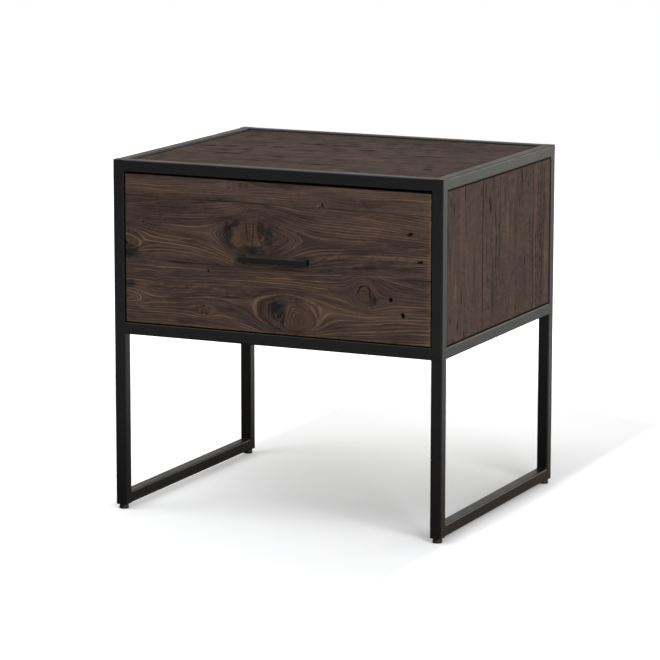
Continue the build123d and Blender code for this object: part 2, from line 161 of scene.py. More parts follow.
def maths(operation, *terms):
    """One arithmetic step on values and numbers."""
    return output(tree_of(terms), "ShaderNodeMath", dict(enumerate(terms)), operation=operation)


def split(value):
    """The three parts of a vector."""
    node = add_node(value.tree, "ShaderNodeSeparateXYZ", {0: value})
    return [Value(socket) for socket in node.outputs]


def map_range(value, source, target=(0.0, 1.0)):
    """Carry a value smoothly from one range to another."""
    names = ("Value", "From Min", "From Max", "To Min", "To Max")
    inputs = dict(zip(names, (value, *source, *target)))
    return output(value.tree, "ShaderNodeMapRange", inputs, interpolation_type="SMOOTHSTEP")


def noise(place, scale, detail=3.0, roughness=0.5):
    """Soft noise between about 0 and 1."""
    inputs = {"Vector": place, "Scale": scale, "Detail": detail, "Roughness": roughness}
    return output(place.tree, "ShaderNodeTexNoise", inputs, "Fac")


print("Node helpers ready")

# %% [markdown]
# ## Finish helpers
#
# A finish is a material with one surface shader. Colours are mixed by shares or picked from a ramp,
# noises are laid out in the piece's own coordinates, and a height can tilt the surface as a bump.
# Pictures of real surfaces would be simpler, but noises stay sharp at any distance and need no
# unwrapping.

# %% Mix colours and start materials
MIX_SHARE, MIX_FIRST, MIX_SECOND = 0, 6, 7
MIX_RESULT = 2


def paint(colour):
    """A grey or a linear red, green and blue as four channels."""
    if isinstance(colour, (int, float)):
        colour = (colour, colour, colour)
    return (*colour, 1.0)


def mix_colours(share, *pair):
    """The first colour of a pair, with that share of the second one mixed in."""
    first, second = [c if isinstance(c, Value) else paint(c) for c in pair]
    inputs = {MIX_SHARE: share, MIX_FIRST: first, MIX_SECOND: second}
    return output(share.tree, "ShaderNodeMix", inputs, MIX_RESULT, data_type="RGBA")


def ramp(value, stops):
    """A colour ramp whose stops are (place, grey or colour)."""
    node = add_node(value.tree, "ShaderNodeValToRGB", {"Fac": value})
    elements = node.color_ramp.elements
    while len(elements) < len(stops):
        elements.new(0.5)
    for element, (place, colour) in zip(elements, stops):
        element.position = place
        element.color = paint(colour)
    return Value(node.outputs["Color"])


def new_material(name):
    """An empty material with its tree and its surface shader."""
    material = bpy.data.materials.new(name)
    material.use_nodes = True
    tree = material.node_tree
    tree.nodes.clear()
    surface = add_node(tree, "ShaderNodeBsdfPrincipled")
    add_node(tree, "ShaderNodeOutputMaterial", {"Surface": Value(surface.outputs["BSDF"])})
    return material, tree, surface


def object_place(tree, scale=(1.0, 1.0, 1.0)):
    """Object coordinates, stretched."""
    place = output(tree, "ShaderNodeTexCoord", name="Object")
    return output(tree, "ShaderNodeMapping", {"Vector": place, "Scale": scale})


def bump(surface, height, strength, distance):
    """Let a height tilt the surface."""
    inputs = {"Height": height, "Strength": strength, "Distance": distance}
    fill(surface, {"Normal": output(height.tree, "ShaderNodeBump", inputs, "Normal")})


print("Finish helpers ready")

# %% [markdown]
# ## Floor
#
# The picture was taken on a white sweep. The floor is a wide pale sheet that keeps the table's shadow. To
# the camera it glows a little, so that outside the shadow it is as white as the backdrop. Between the
# base rails the glow is weaker, and weakest towards the front and the right, so it also paints the
# shadow: its edges at the rails and its soft fade to the front. All other rays meet a floor that is dim
# and warm close to the table and pale farther off. That is what the satin paint mirrors.

# %% Lay the floor
FLOOR_SIZE = 9.0
FLOOR_ROUGH = 0.9
FLOOR_GLOSS = 0.1
FLOOR_PALE = 0.74
FLOOR_FRONT = 0.72
FRONT_EDGE = (-0.80, 0.60)
FLOOR_NEAR = (0.172, 0.143, 0.115)
FLOOR_BESIDE = (0.330, 0.280, 0.225)
BESIDE_EDGE = (0.10, 0.50)
NEAR_REACH = 0.35
TURN_EDGE = (-0.20, 0.20)
BRIGHT_FRONT = 2.20
BRIGHT_BEHIND = (1.05, 1.55)
FADE_REACH = (2.00, 3.40)
FADE_SHARE = 0.30
FLOOR_SEEN = (0.785, 0.792, 0.810)
# Glow seen only by the camera, weaker in a strip between the base rails: it paints the shadow's shape
STRIP_FRONT = (-0.30, -0.08)
STRIP_GLOW = (0.115, 0.21)
STRIP_SLANT = 0.25
WHITE_GLOW = 0.55
SHADE_EDGE = (0.298, 0.345)
FAR_REACH = (0.60, 1.60)


def seen_directly(tree):
    """1 for rays that start at the camera."""
    return output(tree, "ShaderNodeLightPath", name="Is Camera Ray")


def mirrored_floor(across, depth, away):
    """What the paint mirrors: dim close by, and pale farther off, sooner so behind the table."""
    beside = map_range(across, BESIDE_EDGE)
    distant = map_range(depth, FRONT_EDGE, (FLOOR_FRONT, FLOOR_PALE))
    distant = distant - distant * beside * map_range(away, FADE_REACH, (0.0, FADE_SHARE))
    close = mix_colours(beside, FLOOR_NEAR, FLOOR_BESIDE)
    bright_behind = map_range(across, BESIDE_EDGE, BRIGHT_BEHIND)
    bright_from = map_range(depth, TURN_EDGE, (BRIGHT_FRONT, bright_behind))
    return mix_colours(map_range(away, (NEAR_REACH, bright_from)), close, distant)


def painted_shadow_glow(across, depth, away):
    """Painted shadow: a glow only the camera sees, weak between the base rails and weakest to the front
    and right, so the shadow stays between the rails and fades to the front.
    """
    strip = map_range(depth, STRIP_FRONT, STRIP_GLOW) - across * STRIP_SLANT
    sideways = map_range(maths("ABSOLUTE", across), SHADE_EDGE)
    glow = strip + sideways * (WHITE_GLOW - strip)
    glow = maths("MAXIMUM", glow, map_range(away, FAR_REACH))
    return seen_directly(across.tree) * glow


def make_floor():
    """A wide sheet under the feet."""
    mesh = bpy.data.meshes.new("floor")
    half = FLOOR_SIZE / 2
    corners = [(-half, -half, 0), (half, -half, 0), (half, half, 0), (-half, half, 0)]
    mesh.from_pydata(corners, [], [(0, 1, 2, 3)])
    floor = add_object("floor", mesh)
    material, tree, surface = new_material("floor")
    mesh.materials.append(material)
    place = output(tree, "ShaderNodeTexCoord", name="Object")
    across, depth, _ = split(place)
    away = output(tree, "ShaderNodeVectorMath", {0: place}, "Value", operation="LENGTH")
    mirrored = mirrored_floor(across, depth, away)
    fill(surface, {
        "Base Color": mix_colours(seen_directly(tree), mirrored, FLOOR_SEEN),
        "Roughness": FLOOR_ROUGH,
        "Specular IOR Level": FLOOR_GLOSS,
        "Emission Color": paint(1.0),
        # A glow that only the camera sees, shaped to paint the shadow
        "Emission Strength": painted_shadow_glow(across, depth, away),
    })


make_floor()
print("Floor", FLOOR_SIZE, "m wide")

# %% [markdown]
# ## Backdrop and light
#
# The world is bright behind the table and dim on the camera's side, as in a studio. So the paint is grey
# where it is seen at a shallow angle and nearly black where it faces the camera. The camera itself sees
# plain white past the floor. Four soft boxes give the wood its light. A sun would be simpler, but its
# hard shadows are not in the picture.

# %% Light the stage
WORLD_BACK = 0.56
WORLD_FRONT = 0.11
WORLD_TURN = (-0.35, 0.35)
WORLD_TINT = (1.0, 0.985, 0.935)
TABLE_MIDDLE = (0.0, 0.0, 0.4)
WHITE_LIGHT = (1.0, 1.0, 1.0)
WARM_LIGHT = (1.0, 0.98, 0.86)
# Place, target, size, power and colour of each soft box
SOFTBOXES = {
    "overhead": ((-0.3, -0.9, 4.2), (0.0, 0.0, 0.3), (3.0, 2.4), 80.0, WHITE_LIGHT),
    "right_front": ((3.0, -2.4, 2.0), TABLE_MIDDLE, (1.8, 1.8), 124.0, WHITE_LIGHT),
    "left_top": ((-2.0, -1.2, 2.6), TABLE_MIDDLE, (1.6, 1.6), 24.0, WHITE_LIGHT),
    "right_back": ((2.4, 3.0, 0.9), TABLE_MIDDLE, (2.0, 1.4), 32.0, WARM_LIGHT),
}


def make_world():
    """Bright behind the table, dim in front, and white wherever the camera looks past the floor."""
    world = bpy.data.worlds.new("studio")
    bpy.context.scene.world = world
    world.use_nodes = True
    tree = world.node_tree
    tree.nodes.clear()
    _, depth, _ = split(output(tree, "ShaderNodeTexCoord", name="Generated"))
    brightness = map_range(depth, WORLD_TURN, (WORLD_FRONT, WORLD_BACK))
    strength = maths("MAXIMUM", brightness, seen_directly(tree))
    tint = mix_colours(seen_directly(tree), WORLD_TINT, 1.0)
    sky = output(tree, "ShaderNodeBackground", {"Color": tint, "Strength": strength})
    add_node(tree, "ShaderNodeOutputWorld", {"Surface": sky})


def make_softbox(name, place, target, size, power, colour):
    """A rectangular area light that faces a point."""
    data = bpy.data.lights.new(name, "AREA")
    data.shape = "RECTANGLE"
    data.size, data.size_y = size
    data.energy = power
    data.color = colour
    look_along(add_object(name, data), place, Vector(target) - Vector(place))


make_world()
for name, settings in SOFTBOXES.items():
    make_softbox(name, *settings)
print("World and", len(SOFTBOXES), "soft lights")

# %% [markdown]
# ## Satin black paint
#
# Powder coat is sprayed dry and baked. It flows into a skin with a faint orange-peel texture, slightly
# uneven gloss and a little dust. Noises at different scales give the peel, the dust and the cloudy
# gloss. The colour is close to black, so most of what is seen is reflection. One plain colour would be
# simpler, but it would look like plastic.

# %% Paint the frame and the handle
FRAME_BLACK = (0.0038, 0.0040, 0.0054)
FRAME_DUST = (0.012, 0.0118, 0.0118)
FRAME_GLOSS = (0.29, 0.40)
HANDLE_BLACK = (0.0022, 0.0024, 0.0042)
HANDLE_DUST = (0.008, 0.008, 0.009)
HANDLE_GLOSS = (0.36, 0.46)
PAINT_IOR = 1.36
# Scale, detail and roughness of each noise
CLOUDS = (14.0, 4.0, 0.6)
SPECKS = (260.0, 2.0, 0.7)
PEEL = (900.0, 2.0, 0.5)
CLOUD_RANGE = (0.2, 0.8)
SPECK_EDGE = [(0.52, 0.0), (0.80, 1.0)]
PEEL_BUMP = (0.10, 0.0004)


def powder_coat(name, black, dust, gloss):
    """Satin paint: dark, with peel, cloudy gloss and a trace of dust."""
    material, tree, surface = new_material(name)
    place = object_place(tree)
    cloud = noise(place, *CLOUDS)
    speck = noise(place, *SPECKS)
    fill(surface, {
        "Base Color": mix_colours(ramp(speck, SPECK_EDGE) * cloud, black, dust),
        "Roughness": map_range(cloud, CLOUD_RANGE, gloss),
        "IOR": PAINT_IOR,
    })
    bump(surface, noise(place, *PEEL), *PEEL_BUMP)
    return material


def dress(names, material):
    """Give CAD pieces a finish in place of their plain one."""
    for name in names:
        slots = cad_nodes[name].data.materials
        slots.clear()
        slots.append(material)


frame_paint = powder_coat("frame_powder_coat", FRAME_BLACK, FRAME_DUST, FRAME_GLOSS)
handle_paint = powder_coat("handle_powder_coat", HANDLE_BLACK, HANDLE_DUST, HANDLE_GLOSS)
tubes = [name for name in cad_nodes if name.endswith(("_leg", "_rail"))]
handle_parts = [name for name in cad_nodes if name.startswith("handle_bar")]
handle_parts += [name for name in cad_nodes if name.endswith("_handle_post")]
dress(tubes + ["leg_top_caps", "panel_tabs"], frame_paint)
dress(handle_parts, handle_paint)
print("Painted", len(tubes), "tubes and", len(handle_parts), "handle pieces")

# %% [markdown]
# ## The grain of reclaimed pine
#
# On a flat-sawn pine board the growth rings show as long lines that part round each knot, as water parts
# round a stone, and close in loops on the knot itself. A painted texture cannot do that, so each board
# gets a field computed for every point of its face: how far along the grain it lies, and which growth
# ring it is in. Away from a knot the field is the stream function of a flow round an ellipse. Inside the
# ellipse the rings count inwards. Random waves of several lengths keep the lines from being straight.

# %% Grain field
WAVE_SPREAD = (0.7, 1.5)
# How far the grain wanders in mm, its stretch along the board and the waves' length in mm
WANDER_ALONG = (4.0, 0.40, 60.0)
WANDER_BROAD = (2.6, 0.30, 75.0)
WANDER_FINE = (0.4, 0.25, 16.0)
# Rings that lie closer and wider by turns: amount, period and shift
RING_SWELLS = ((0.45, 3.1, 0.0), (0.80, 6.7, 1.0))
KNOT_POWER = 2.0
GILT_WIDTH = 0.055
GILT_LEAN = 1.5


def unit(values):
    """Values kept between 0 and 1."""
    return np.clip(values, 0.0, 1.0)


def waves(first, second, length, rng, count=7):
    """A smooth random field of about -1 to 1 with features of the given length."""
    total = np.zeros_like(first)
    for _ in range(count):
        angle = rng.uniform(0, 2 * pi)
        pitch = 2 * pi / (length * rng.uniform(*WAVE_SPREAD))
        shift = rng.uniform(0, 2 * pi)
        total += np.cos(pitch * (first * cos(angle) + second * sin(angle)) + shift)
    return total / np.sqrt(count)


def waves_along(along, length, rng):
    """Waves that change along the board and not across it."""
    return waves(along, np.zeros_like(along), length, rng)


def wander(along, across, settings, rng):
    """How far the grain strays at each point."""
    amount, stretch, length = settings
    return amount * waves(along * stretch, across, length, rng)


def flow_round_knots(along, across, knots, ring_width, rng):
    """Grain length, ring number and golden outlines on one board. A knot's reach is its half length, its
    half height and, where that differs, how far it hangs down."""
    length = along + wander(along, across, WANDER_ALONG, rng)
    side = across + wander(along, across, WANDER_BROAD, rng) + wander(along, across, WANDER_FINE, rng)
    path = length.copy()
    level = side.copy()
    loops = np.zeros_like(along)
    gilt = np.zeros_like(along)
    for knot in knots:
        reach = (length - knot["at"][0]) / knot["reach"][0]
        above = side - knot["at"][1]
        rise = above / np.where(above < 0, knot["reach"][-1], knot["reach"][1])
        power = knot.get("power", KNOT_POWER)
        distance = (np.abs(reach) ** power + np.abs(rise) ** power) ** (1.0 / power)
        loops += knot["rings"] * np.clip(1.0 - distance, 0.0, None)
        outline = np.exp(-(((distance - 1.0) / GILT_WIDTH) ** 2)) * unit(1.0 + GILT_LEAN * rise)
        gilt = np.maximum(gilt, knot.get("gilt", 0.0) * outline)
        if knot.get("inner"):
            continue
        share = 1.0 / np.maximum(distance, 1.0) ** 2
        level -= above * share
        path += (length - knot["at"][0]) * share
    count = level / ring_width
    ring = count
    for amount, period, shift in RING_SWELLS:
        ring = ring + amount * np.sin(count / period + shift)
    return path, ring + loops, gilt


print("Grain field ready")

# %% [markdown]
# ## Colours of stained wood
#
# The stain sinks into the soft early wood and leaves the hard late wood of each ring paler, so the lines
# are light on dark. Dark, middle and warm ground make one ramp. Golden lines, blue-black stain, red-brown
# knot hearts, and the near-black of holes and of the painted shade along panel rims lie over it. One
# colour for the whole board would be simpler, but old wood is never even.

# %% Colours and gloss of stained wood
WOOD_DARK = (0.0200, 0.0131, 0.0122)
WOOD_MIDDLE = (0.0580, 0.0369, 0.0309)
WOOD_WARM = (0.1000, 0.0631, 0.0479)
LINE_DULL = (0.1350, 0.0940, 0.0690)
LINE_GOLD = (0.3050, 0.1840, 0.0930)
WOOD_BLUE = (0.0120, 0.0130, 0.0145)
WOOD_HEART = (0.0580, 0.0300, 0.0200)
# Near-black of holes, cracks and seams, also used for the painted shade along panel rims
WOOD_HOLE_AND_SHADE = (0.0030, 0.0028, 0.0028)
WOOD_SHEEN = 0.14
WOOD_ROUGH = (0.86, 0.72)
WOOD_BUMP = (0.40, 0.0007)
WOOD_GROUND = [(0.0, WOOD_DARK), (0.48, WOOD_MIDDLE), (1.0, WOOD_WARM)]
print("Stained wood:", len(WOOD_GROUND), "ground colours")

# %% [markdown]
# ## Stained wood finish
#
# The shader reads the ring number from the mesh. The part after the decimal point is the place within a
# ring, and the whole part picks how strong that ring's line is. Fibres are noise drawn out along the
# grain. Stain, hearts and holes are masks that the mesh carries too; the hole mask also holds the painted
# shade along panel rims. A photograph of wood could be laid on instead, but its lines would not part
# round these knots.

# %% Mix the stained wood
# Pitch along a millimetre of grain and across a ring, scale and detail of each noise
FIBRES = ((0.010, 1.2), 6.0, 4.0)
STREAKS = ((0.010, 1.2), 1.6, 3.0)
BANDS = ((0.0045, 0.14), 1.0, 2.0)
SAW_MARKS = ((0.15, 0.12), 1.0, 3.0)
GRAIN_ROUGH = 0.6
NOISE_MIDDLE = 0.5
# Shares of fibres, streaks and bands, or of the first two, in what they shape
SHADE_SHARES = (1.9, 1.9, 1.3)
RING_SHARES = (0.16, 0.22)
BUMP_SHARES = (0.8, 0.6)
SHADE_LEVEL = 0.32
SHADE_QUIET = 0.25
TONE_SHARE = 0.4
SAW_SHARE = 0.75
SAW_FULL = 1.25
STREAK_EDGE = (-0.25, 0.25)
STAIN_THIN = (1.0, 0.78)
HEART_SHARE = 0.7
RING_LINE = [(0.0, 0.0), (0.66, 0.0), (0.84, 1.0), (0.93, 1.0), (1.0, 0.0)]
LINE_STRENGTH = [(0.0, 0.10), (0.55, 0.45), (1.0, 1.0)]
# Shares of streaks and bands in where a line fades
LINE_SHARES = (0.7, 0.8)
LINE_EDGE = (0.28, 0.72)
LINE_FADE = (0.10, 1.0)
LINE_BUMP = 0.7
HEART_HIDES, STAIN_HIDES = 0.55, 0.50
GOLD_EDGE = (-0.10, 0.12)
GOLD_SHARE = (0.15, 1.0)
# Share of gold where the board is worn and where a highlight is painted
WEAR_AND_HIGHLIGHT_SHARE = 0.45
STAIN_DULL = 0.7
YEARS_PER_BOARD = 37.0


def grain_noise(grain, pitch, scale, detail):
    """Noise drawn out along the grain, about zero."""
    path, ring, board = grain
    parts = {"X": path * pitch[0], "Y": ring * pitch[1], "Z": board}
    place = output(path.tree, "ShaderNodeCombineXYZ", parts)
    return noise(place, scale, detail, GRAIN_ROUGH) - NOISE_MIDDLE


def blend(shares, *values):
    """The sum of values, each times its share."""
    total = values[0] * shares[0]
    for share, value in zip(shares[1:], values[1:]):
        total = total + value * share
    return total


def stained_wood():
    """Dark stain on brushed pine, drawn from the grain that the mesh carries."""
    material, tree, surface = new_material("stained_pine")
    layers = []
    for name in ("grain", "marks", "figure"):
        layers.append(split(output(tree, "ShaderNodeAttribute", name="Vector", attribute_name=name)))
    grain, (blue, heart, hole_and_shade), (contrast, tone, wear_and_highlight) = layers
    _, ring, board = grain

    # Fibres, streaks and broad bands all follow the grain
    fine = grain_noise(grain, *FIBRES)
    streak = grain_noise(grain, *STREAKS)
    broad = grain_noise(grain, *BANDS)
    lively = contrast * (1.0 - SHADE_QUIET) + SHADE_QUIET
    shade = blend(SHADE_SHARES, fine, streak, broad) * lively + tone * TONE_SHARE + SHADE_LEVEL

    # Quiet boards keep the saw's marks, which run across the grain
    sawn = grain_noise(grain, *SAW_MARKS)
    ground = ramp(shade + sawn * (SAW_FULL - contrast) * SAW_SHARE, WOOD_GROUND)

    # Blue-black stain and knot hearts sit in the ground, under the rings
    ground = mix_colours(blue * map_range(streak, STREAK_EDGE, STAIN_THIN), ground, WOOD_BLUE)
    ground = mix_colours(heart * HEART_SHARE, ground, WOOD_HEART)

    # The place within a ring gives its pale line, and the year gives the line's strength
    count = ring + blend(RING_SHARES, fine, streak)
    year = maths("MULTIPLY_ADD", board, YEARS_PER_BOARD, maths("FLOOR", count))
    chance = output(tree, "ShaderNodeTexWhiteNoise", {"W": year}, "Value", noise_dimensions="1D")
    line = ramp(maths("FRACT", count), RING_LINE) * ramp(chance, LINE_STRENGTH) * contrast
    fading = map_range(blend(LINE_SHARES, streak, broad) + NOISE_MIDDLE, LINE_EDGE, LINE_FADE)
    bare = maths("MAXIMUM", 1.0 - heart * HEART_HIDES - blue * STAIN_HIDES, 0.0)
    late = line * fading * bare
    golden = mix_colours(map_range(broad, GOLD_EDGE, GOLD_SHARE), LINE_DULL, LINE_GOLD)
    colour = mix_colours(late, ground, golden)

    # Worn edges with their painted highlight, then holes and painted shade, come last, and neither the
    # dark marks nor stain shine
    colour = mix_colours(wear_and_highlight * WEAR_AND_HIGHLIGHT_SHARE, colour, LINE_GOLD)
    dull = maths("MAXIMUM", hole_and_shade, blue * STAIN_DULL)
    fill(surface, {
        "Base Color": mix_colours(hole_and_shade, colour, WOOD_HOLE_AND_SHADE),
        "Roughness": map_range(late, (0.0, 1.0), WOOD_ROUGH),
        "Specular IOR Level": (1.0 - dull) * WOOD_SHEEN,
    })
    bump(surface, late * LINE_BUMP + blend(BUMP_SHARES, fine, streak), *WOOD_BUMP)
    return material


wood_finish = stained_wood()
print("Stained wood finish made")

# %% [markdown]
# ## Boards as meshes
#
# A panel is a closed slab: a fine grid on its face, a bevel round the rim, walls, and a plain back. The
# grid has extra lines where two boards meet, so the grooves are real. Nail holes and cracks push the
# grid's points in. Each point carries its grain, its marks and its figure for the finish to read. A box
# with a bump would be lighter, but its holes and grooves would look flat from the side.

# %% Build a wood panel
RIM_BEVEL = 0.8
WALL_RING = 3.5
SEAM_WIDTH = 1.6
SEAM_FLOOR = 0.02
GRID_CLEAR = 0.45


def grid_lines(length, step, seams=()):
    """Places of the grid's lines: an even spread, the rim's bevel and each seam's groove."""
    lines = list(np.linspace(0.0, length, max(2, round(length / step)) + 1))
    special = [0.0, RIM_BEVEL, length - RIM_BEVEL, length]
    for seam in seams:
        special += [seam - SEAM_WIDTH / 2, seam - SEAM_FLOOR, seam + SEAM_FLOOR, seam + SEAM_WIDTH / 2]
    kept = [x for x in lines if min(abs(x - s) for s in special) > step * GRID_CLEAR]
    return np.array(sorted(kept + special))


def slab_faces(columns, rows):
    """Quads of the face, walls from its rim to the back, and a fan that closes the back."""
    index = np.arange(columns * rows).reshape(rows, columns)
    corners = [index[:-1, :-1], index[:-1, 1:], index[1:, 1:], index[1:, :-1]]
    quads = np.stack(corners, axis=-1).reshape(-1, 4)
    rim = np.concatenate([index[0, :-1], index[:-1, -1], index[-1, :0:-1], index[:0:-1, 0]])
    back = columns * rows + np.arange(len(rim))
    ahead = np.roll(np.arange(len(rim)), -1)
    walls = np.stack([rim, back, back[ahead], rim[ahead]], axis=-1)
    middle = np.full(len(rim), columns * rows + len(rim))
    fan = np.stack([back, middle, back[ahead]], axis=-1)
    return quads.tolist() + walls.tolist() + fan.tolist(), rim


def store(mesh, name, values):
    """Keep three numbers for each point of a mesh."""
    layer = mesh.attributes.new(name, "FLOAT_VECTOR", "POINT")
    layer.data.foreach_set("vector", np.ascontiguousarray(values, dtype=np.float32).ravel())


def show(mesh, name, material, body, replaced=()):
    """Put a finished mesh into the scene on its body."""
    mesh.materials.clear()
    mesh.materials.append(material)
    piece = add_object(name, mesh)
    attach(piece, body)
    for node in replaced:
        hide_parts(node)


def panel_place(node, right, up):
    """Corner, axes and sizes in millimetres of a CAD panel, seen with right and up along its face."""
    low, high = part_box(node)
    axes = [Vector(right), Vector(up), Vector(right).cross(Vector(up))]
    start = [min(axis.dot(low), axis.dot(high)) for axis in axes]
    end = [max(axis.dot(low), axis.dot(high)) for axis in axes]
    corner = axes[0] * start[0] + axes[1] * start[1] + axes[2] * end[2]
    return corner, axes, [(b - a) / MM for a, b in zip(start, end)]


def from_rim(first, second):
    """Distance from the nearest edge of a panel."""
    return np.minimum.reduce([first, first.max() - first, second, second.max() - second])


def make_panel(name, node, body, place, lines, look, drop=0.0):
    """A wood slab in place of a CAD panel. look draws its face, and drop is how much lower the top edge
    is at its right end."""
    corner, axes, (width, tall, thickness) = place
    across, height = np.meshgrid(*lines)
    face = look(across, height)
    bevel = np.clip(RIM_BEVEL - from_rim(across, height), 0.0, None)
    relief = np.minimum(face.relief, 0.0) - bevel
    faces, rim = slab_faces(len(lines[0]), len(lines[1]))
    lowered = height * (1.0 - drop * across / (width * tall))
    flat = np.stack([across.ravel(), lowered.ravel(), relief.ravel()], axis=-1)
    back = flat[rim].copy()
    back[:, 2] = -thickness
    middle = np.array([[lines[0].mean(), lines[1].mean(), -thickness]])
    points = np.concatenate([flat, back, middle]) * MM
    mesh = bpy.data.meshes.new(name)
    mesh.from_pydata((points @ np.array(axes) + np.array(corner)).tolist(), [], faces)
    for layer in ("grain", "marks", "figure"):
        values = getattr(face, layer).reshape(-1, 3)
        rear = values[rim] + (0.0, thickness / WALL_RING if layer == "grain" else 0.0, 0.0)
        store(mesh, layer, np.concatenate([values, rear, rear.mean(0, keepdims=True)]))
    mesh.update()
    show(mesh, name, wood_finish, body, [node])
    print(name, len(mesh.polygons), "faces")


# %% [markdown]
# ## Marks on wood
#
# Marks are drawn as soft spots, in millimetres on the board. Three channels hold the stain, the knots'
# hearts, and the holes together with the other dark marks and the painted shade along panel rims. Three
# more hold how strong the lines are, how pale the board is, and where it is worn and where a highlight is
# painted. A new mark only ever raises its channel, so marks may overlap. A face object keeps all of this
# together with the face's points and its relief. Marks could be painted by hand, but a list can be
# changed line by line.

# %% Draw spots, hearts and holes
BLUE, HEART, HOLE_AND_SHADE = range(3)
CONTRAST, _, WEAR_AND_HIGHLIGHT = range(3)
# Gain and cut that give a soft spot a firm edge
SHARP_EDGE = (2.2, 0.45)
HOLE_EDGE = (2.2, 0.50)
DENT_EDGE = (1.6, 0.40)


def spot(along, across, place, size, turn=0.0):
    """A soft spot: 1 in the middle of an ellipse, 0.37 on its edge."""
    c, s = cos(radians(turn)), sin(radians(turn))
    first = ((along - place[0]) * c + (across - place[1]) * s) / size[0]
    second = (-(along - place[0]) * s + (across - place[1]) * c) / size[1]
    return np.exp(-(first**2 + second**2))


def firm(soft, edge=SHARP_EDGE):
    """A soft spot with a firmer edge."""
    return unit(edge[0] * soft - edge[1])


def near_line(across, line, width):
    """1 on a line along the board, and 0 at a width from it."""
    return unit(1.0 - np.abs(across - line) / width)


class Face:
    """The points of a panel's face, in mm along and across its boards, and what they carry."""

    def __init__(self, along, across, sink):
        self.along = along
        self.across = across
        self.length = along.max()
        self.relief = np.full(along.shape, -sink)
        self.grain, self.marks, self.figure = np.zeros((3, *along.shape, 3))

    def spot(self, place, size, turn=0.0):
        """A soft spot on the face."""
        return spot(self.along, self.across, place, size, turn)

    def mark(self, channel, values):
        """Raise a mark to the given values where they are higher."""
        self.marks[..., channel] = np.maximum(self.marks[..., channel], values)

    def gild(self, values):
        """Raise the channel for worn edges, golden lines and painted highlight to the given values where
        they are higher.
        """
        self.figure[..., WEAR_AND_HIGHLIGHT] = np.maximum(self.figure[..., WEAR_AND_HIGHLIGHT], values)


def draw_hearts(face, hearts, gain):
    """Red-brown middles of knots."""
    for place, size in hearts:
        face.mark(HEART, unit(gain * face.spot(place, size)))


def punch_holes(face, holes, depth):
    """Nail holes: dark, and dented to a depth."""
    for place, size, turn in holes:
        dent = face.spot(place, size, turn)
        face.mark(HOLE_AND_SHADE, firm(dent, HOLE_EDGE))
        face.relief -= depth * firm(dent, DENT_EDGE)


def lay_board(face, here, flow, number, contrast, tone):
    """Give the points of one board their grain and their figure."""
    path, ring, gilt = flow
    face.grain[here] = np.stack([path, ring, np.full_like(path, number)], axis=-1)[here]
    plain = [np.full_like(path, contrast), np.full_like(path, tone)]
    face.figure[here] = np.stack([*plain, gilt], axis=-1)[here]


def fading(along, settings, rng, limits=(0.0, 1.0)):
    """A strength that comes and goes along the board."""
    base, swing, wave = settings
    return np.clip(base + swing * waves_along(along, wave, rng), *limits)


print("Marks ready")

# %% [markdown]
# ## What the drawer front shows
#
# The front is glued up from three boards. The lower one has a wide knot, a round one, a small one and
# half a knot at its left end. The middle one has a large knot above the handle and half a knot at its
# left end. The upper one is narrow and pale. Knots, stain, nail holes and cracks are listed by where
# they lie, in millimetres from the lower left corner.

# %% Knots and marks of the drawer front
FRONT_SEAMS = (108.0, 215.5)
# Ring width, contrast and tone of each board, from the bottom up
FRONT_BOARDS = ((4.6, 0.95, 0.38), (4.4, 0.90, 0.30), (3.2, 0.75, 0.60))
FRONT_KNOTS = (
    [
        {"at": (304, 48), "reach": (59, 18, 42), "rings": 3.0, "power": 1.8, "gilt": 0.8},
        {"at": (319, 27), "reach": (34, 26), "rings": 6.0, "inner": True, "gilt": 0.4},
        {"at": (441, 77), "reach": (25, 19), "rings": 4.0},
        {"at": (147, 30), "reach": (13, 8), "rings": 2.0},
        {"at": (-2, 46), "reach": (35, 11), "rings": 2.4},
    ],
    [
        {"at": (245, 160), "reach": (84, 40), "rings": 13.0, "power": 1.5},
        {"at": (226, 163), "reach": (36, 30), "rings": 4.0, "inner": True},
        {"at": (-4, 140), "reach": (34, 17), "rings": 1.4},
    ],
    [
        {"at": (363, 221), "reach": (17, 9), "rings": 2.0},
        {"at": (212, 240), "reach": (26, 8), "rings": 1.6},
    ],
)
FRONT_HEARTS = [
    ((225, 164), (12, 18)), ((319, 26), (13, 12)), ((441, 79), (9, 9)),
    ((147, 30), (5, 4)), ((363, 219.5), (2.6, 5)), ((0, 134), (5, 6)),
]
FRONT_STAINS = [
    ((193, 165), (14, 22), 1.0), ((206, 180), (11, 10), 0.9), ((253, 172), (14, 18), 1.0),
    ((265, 160), (12, 24), 1.0), ((236, 138), (32, 10), 1.0), ((8, 121), (24, 15), 1.0),
    ((8, 66), (16, 11), 0.9), ((280, 45), (17, 14), 1.0), ((289, 28), (9, 18), 0.95),
    ((457, 70), (7, 10), 0.95), ((266, 212), (15, 5), 0.7), ((318, 5), (28, 5), 0.6),
    ((30, 20), (30, 5), 0.35), ((420, 150), (60, 6), 0.35), ((360, 130), (70, 5), 0.4),
]
FRONT_HOLES = [
    ((520, 182.5), (4.2, 2.4), 20), ((538, 138), (4.4, 2.0), 10), ((485.5, 72), (4.3, 3.6), 60),
    ((507, 47), (3.6, 5.0), 15), ((155, 97), (1.7, 1.5), 0), ((34, 171.5), (1.8, 1.2), 0),
    ((1, 134), (2.0, 2.2), 0), ((515.5, 181), (3.0, 0.9), 160), ((533, 136.5), (3.2, 0.8), 15),
]
FRONT_GILT = [
    ((125, 68), (95, 2.6), -1), ((385, 134), (40, 3.0), 10), ((480, 141), (70, 3.0), 1),
    ((540, 159), (16, 1.4), 0), ((60, 228), (45, 1.6), -3), ((210, 58), (30, 1.0), -4),
    ((100, 147), (40, 1.0), 5),
]
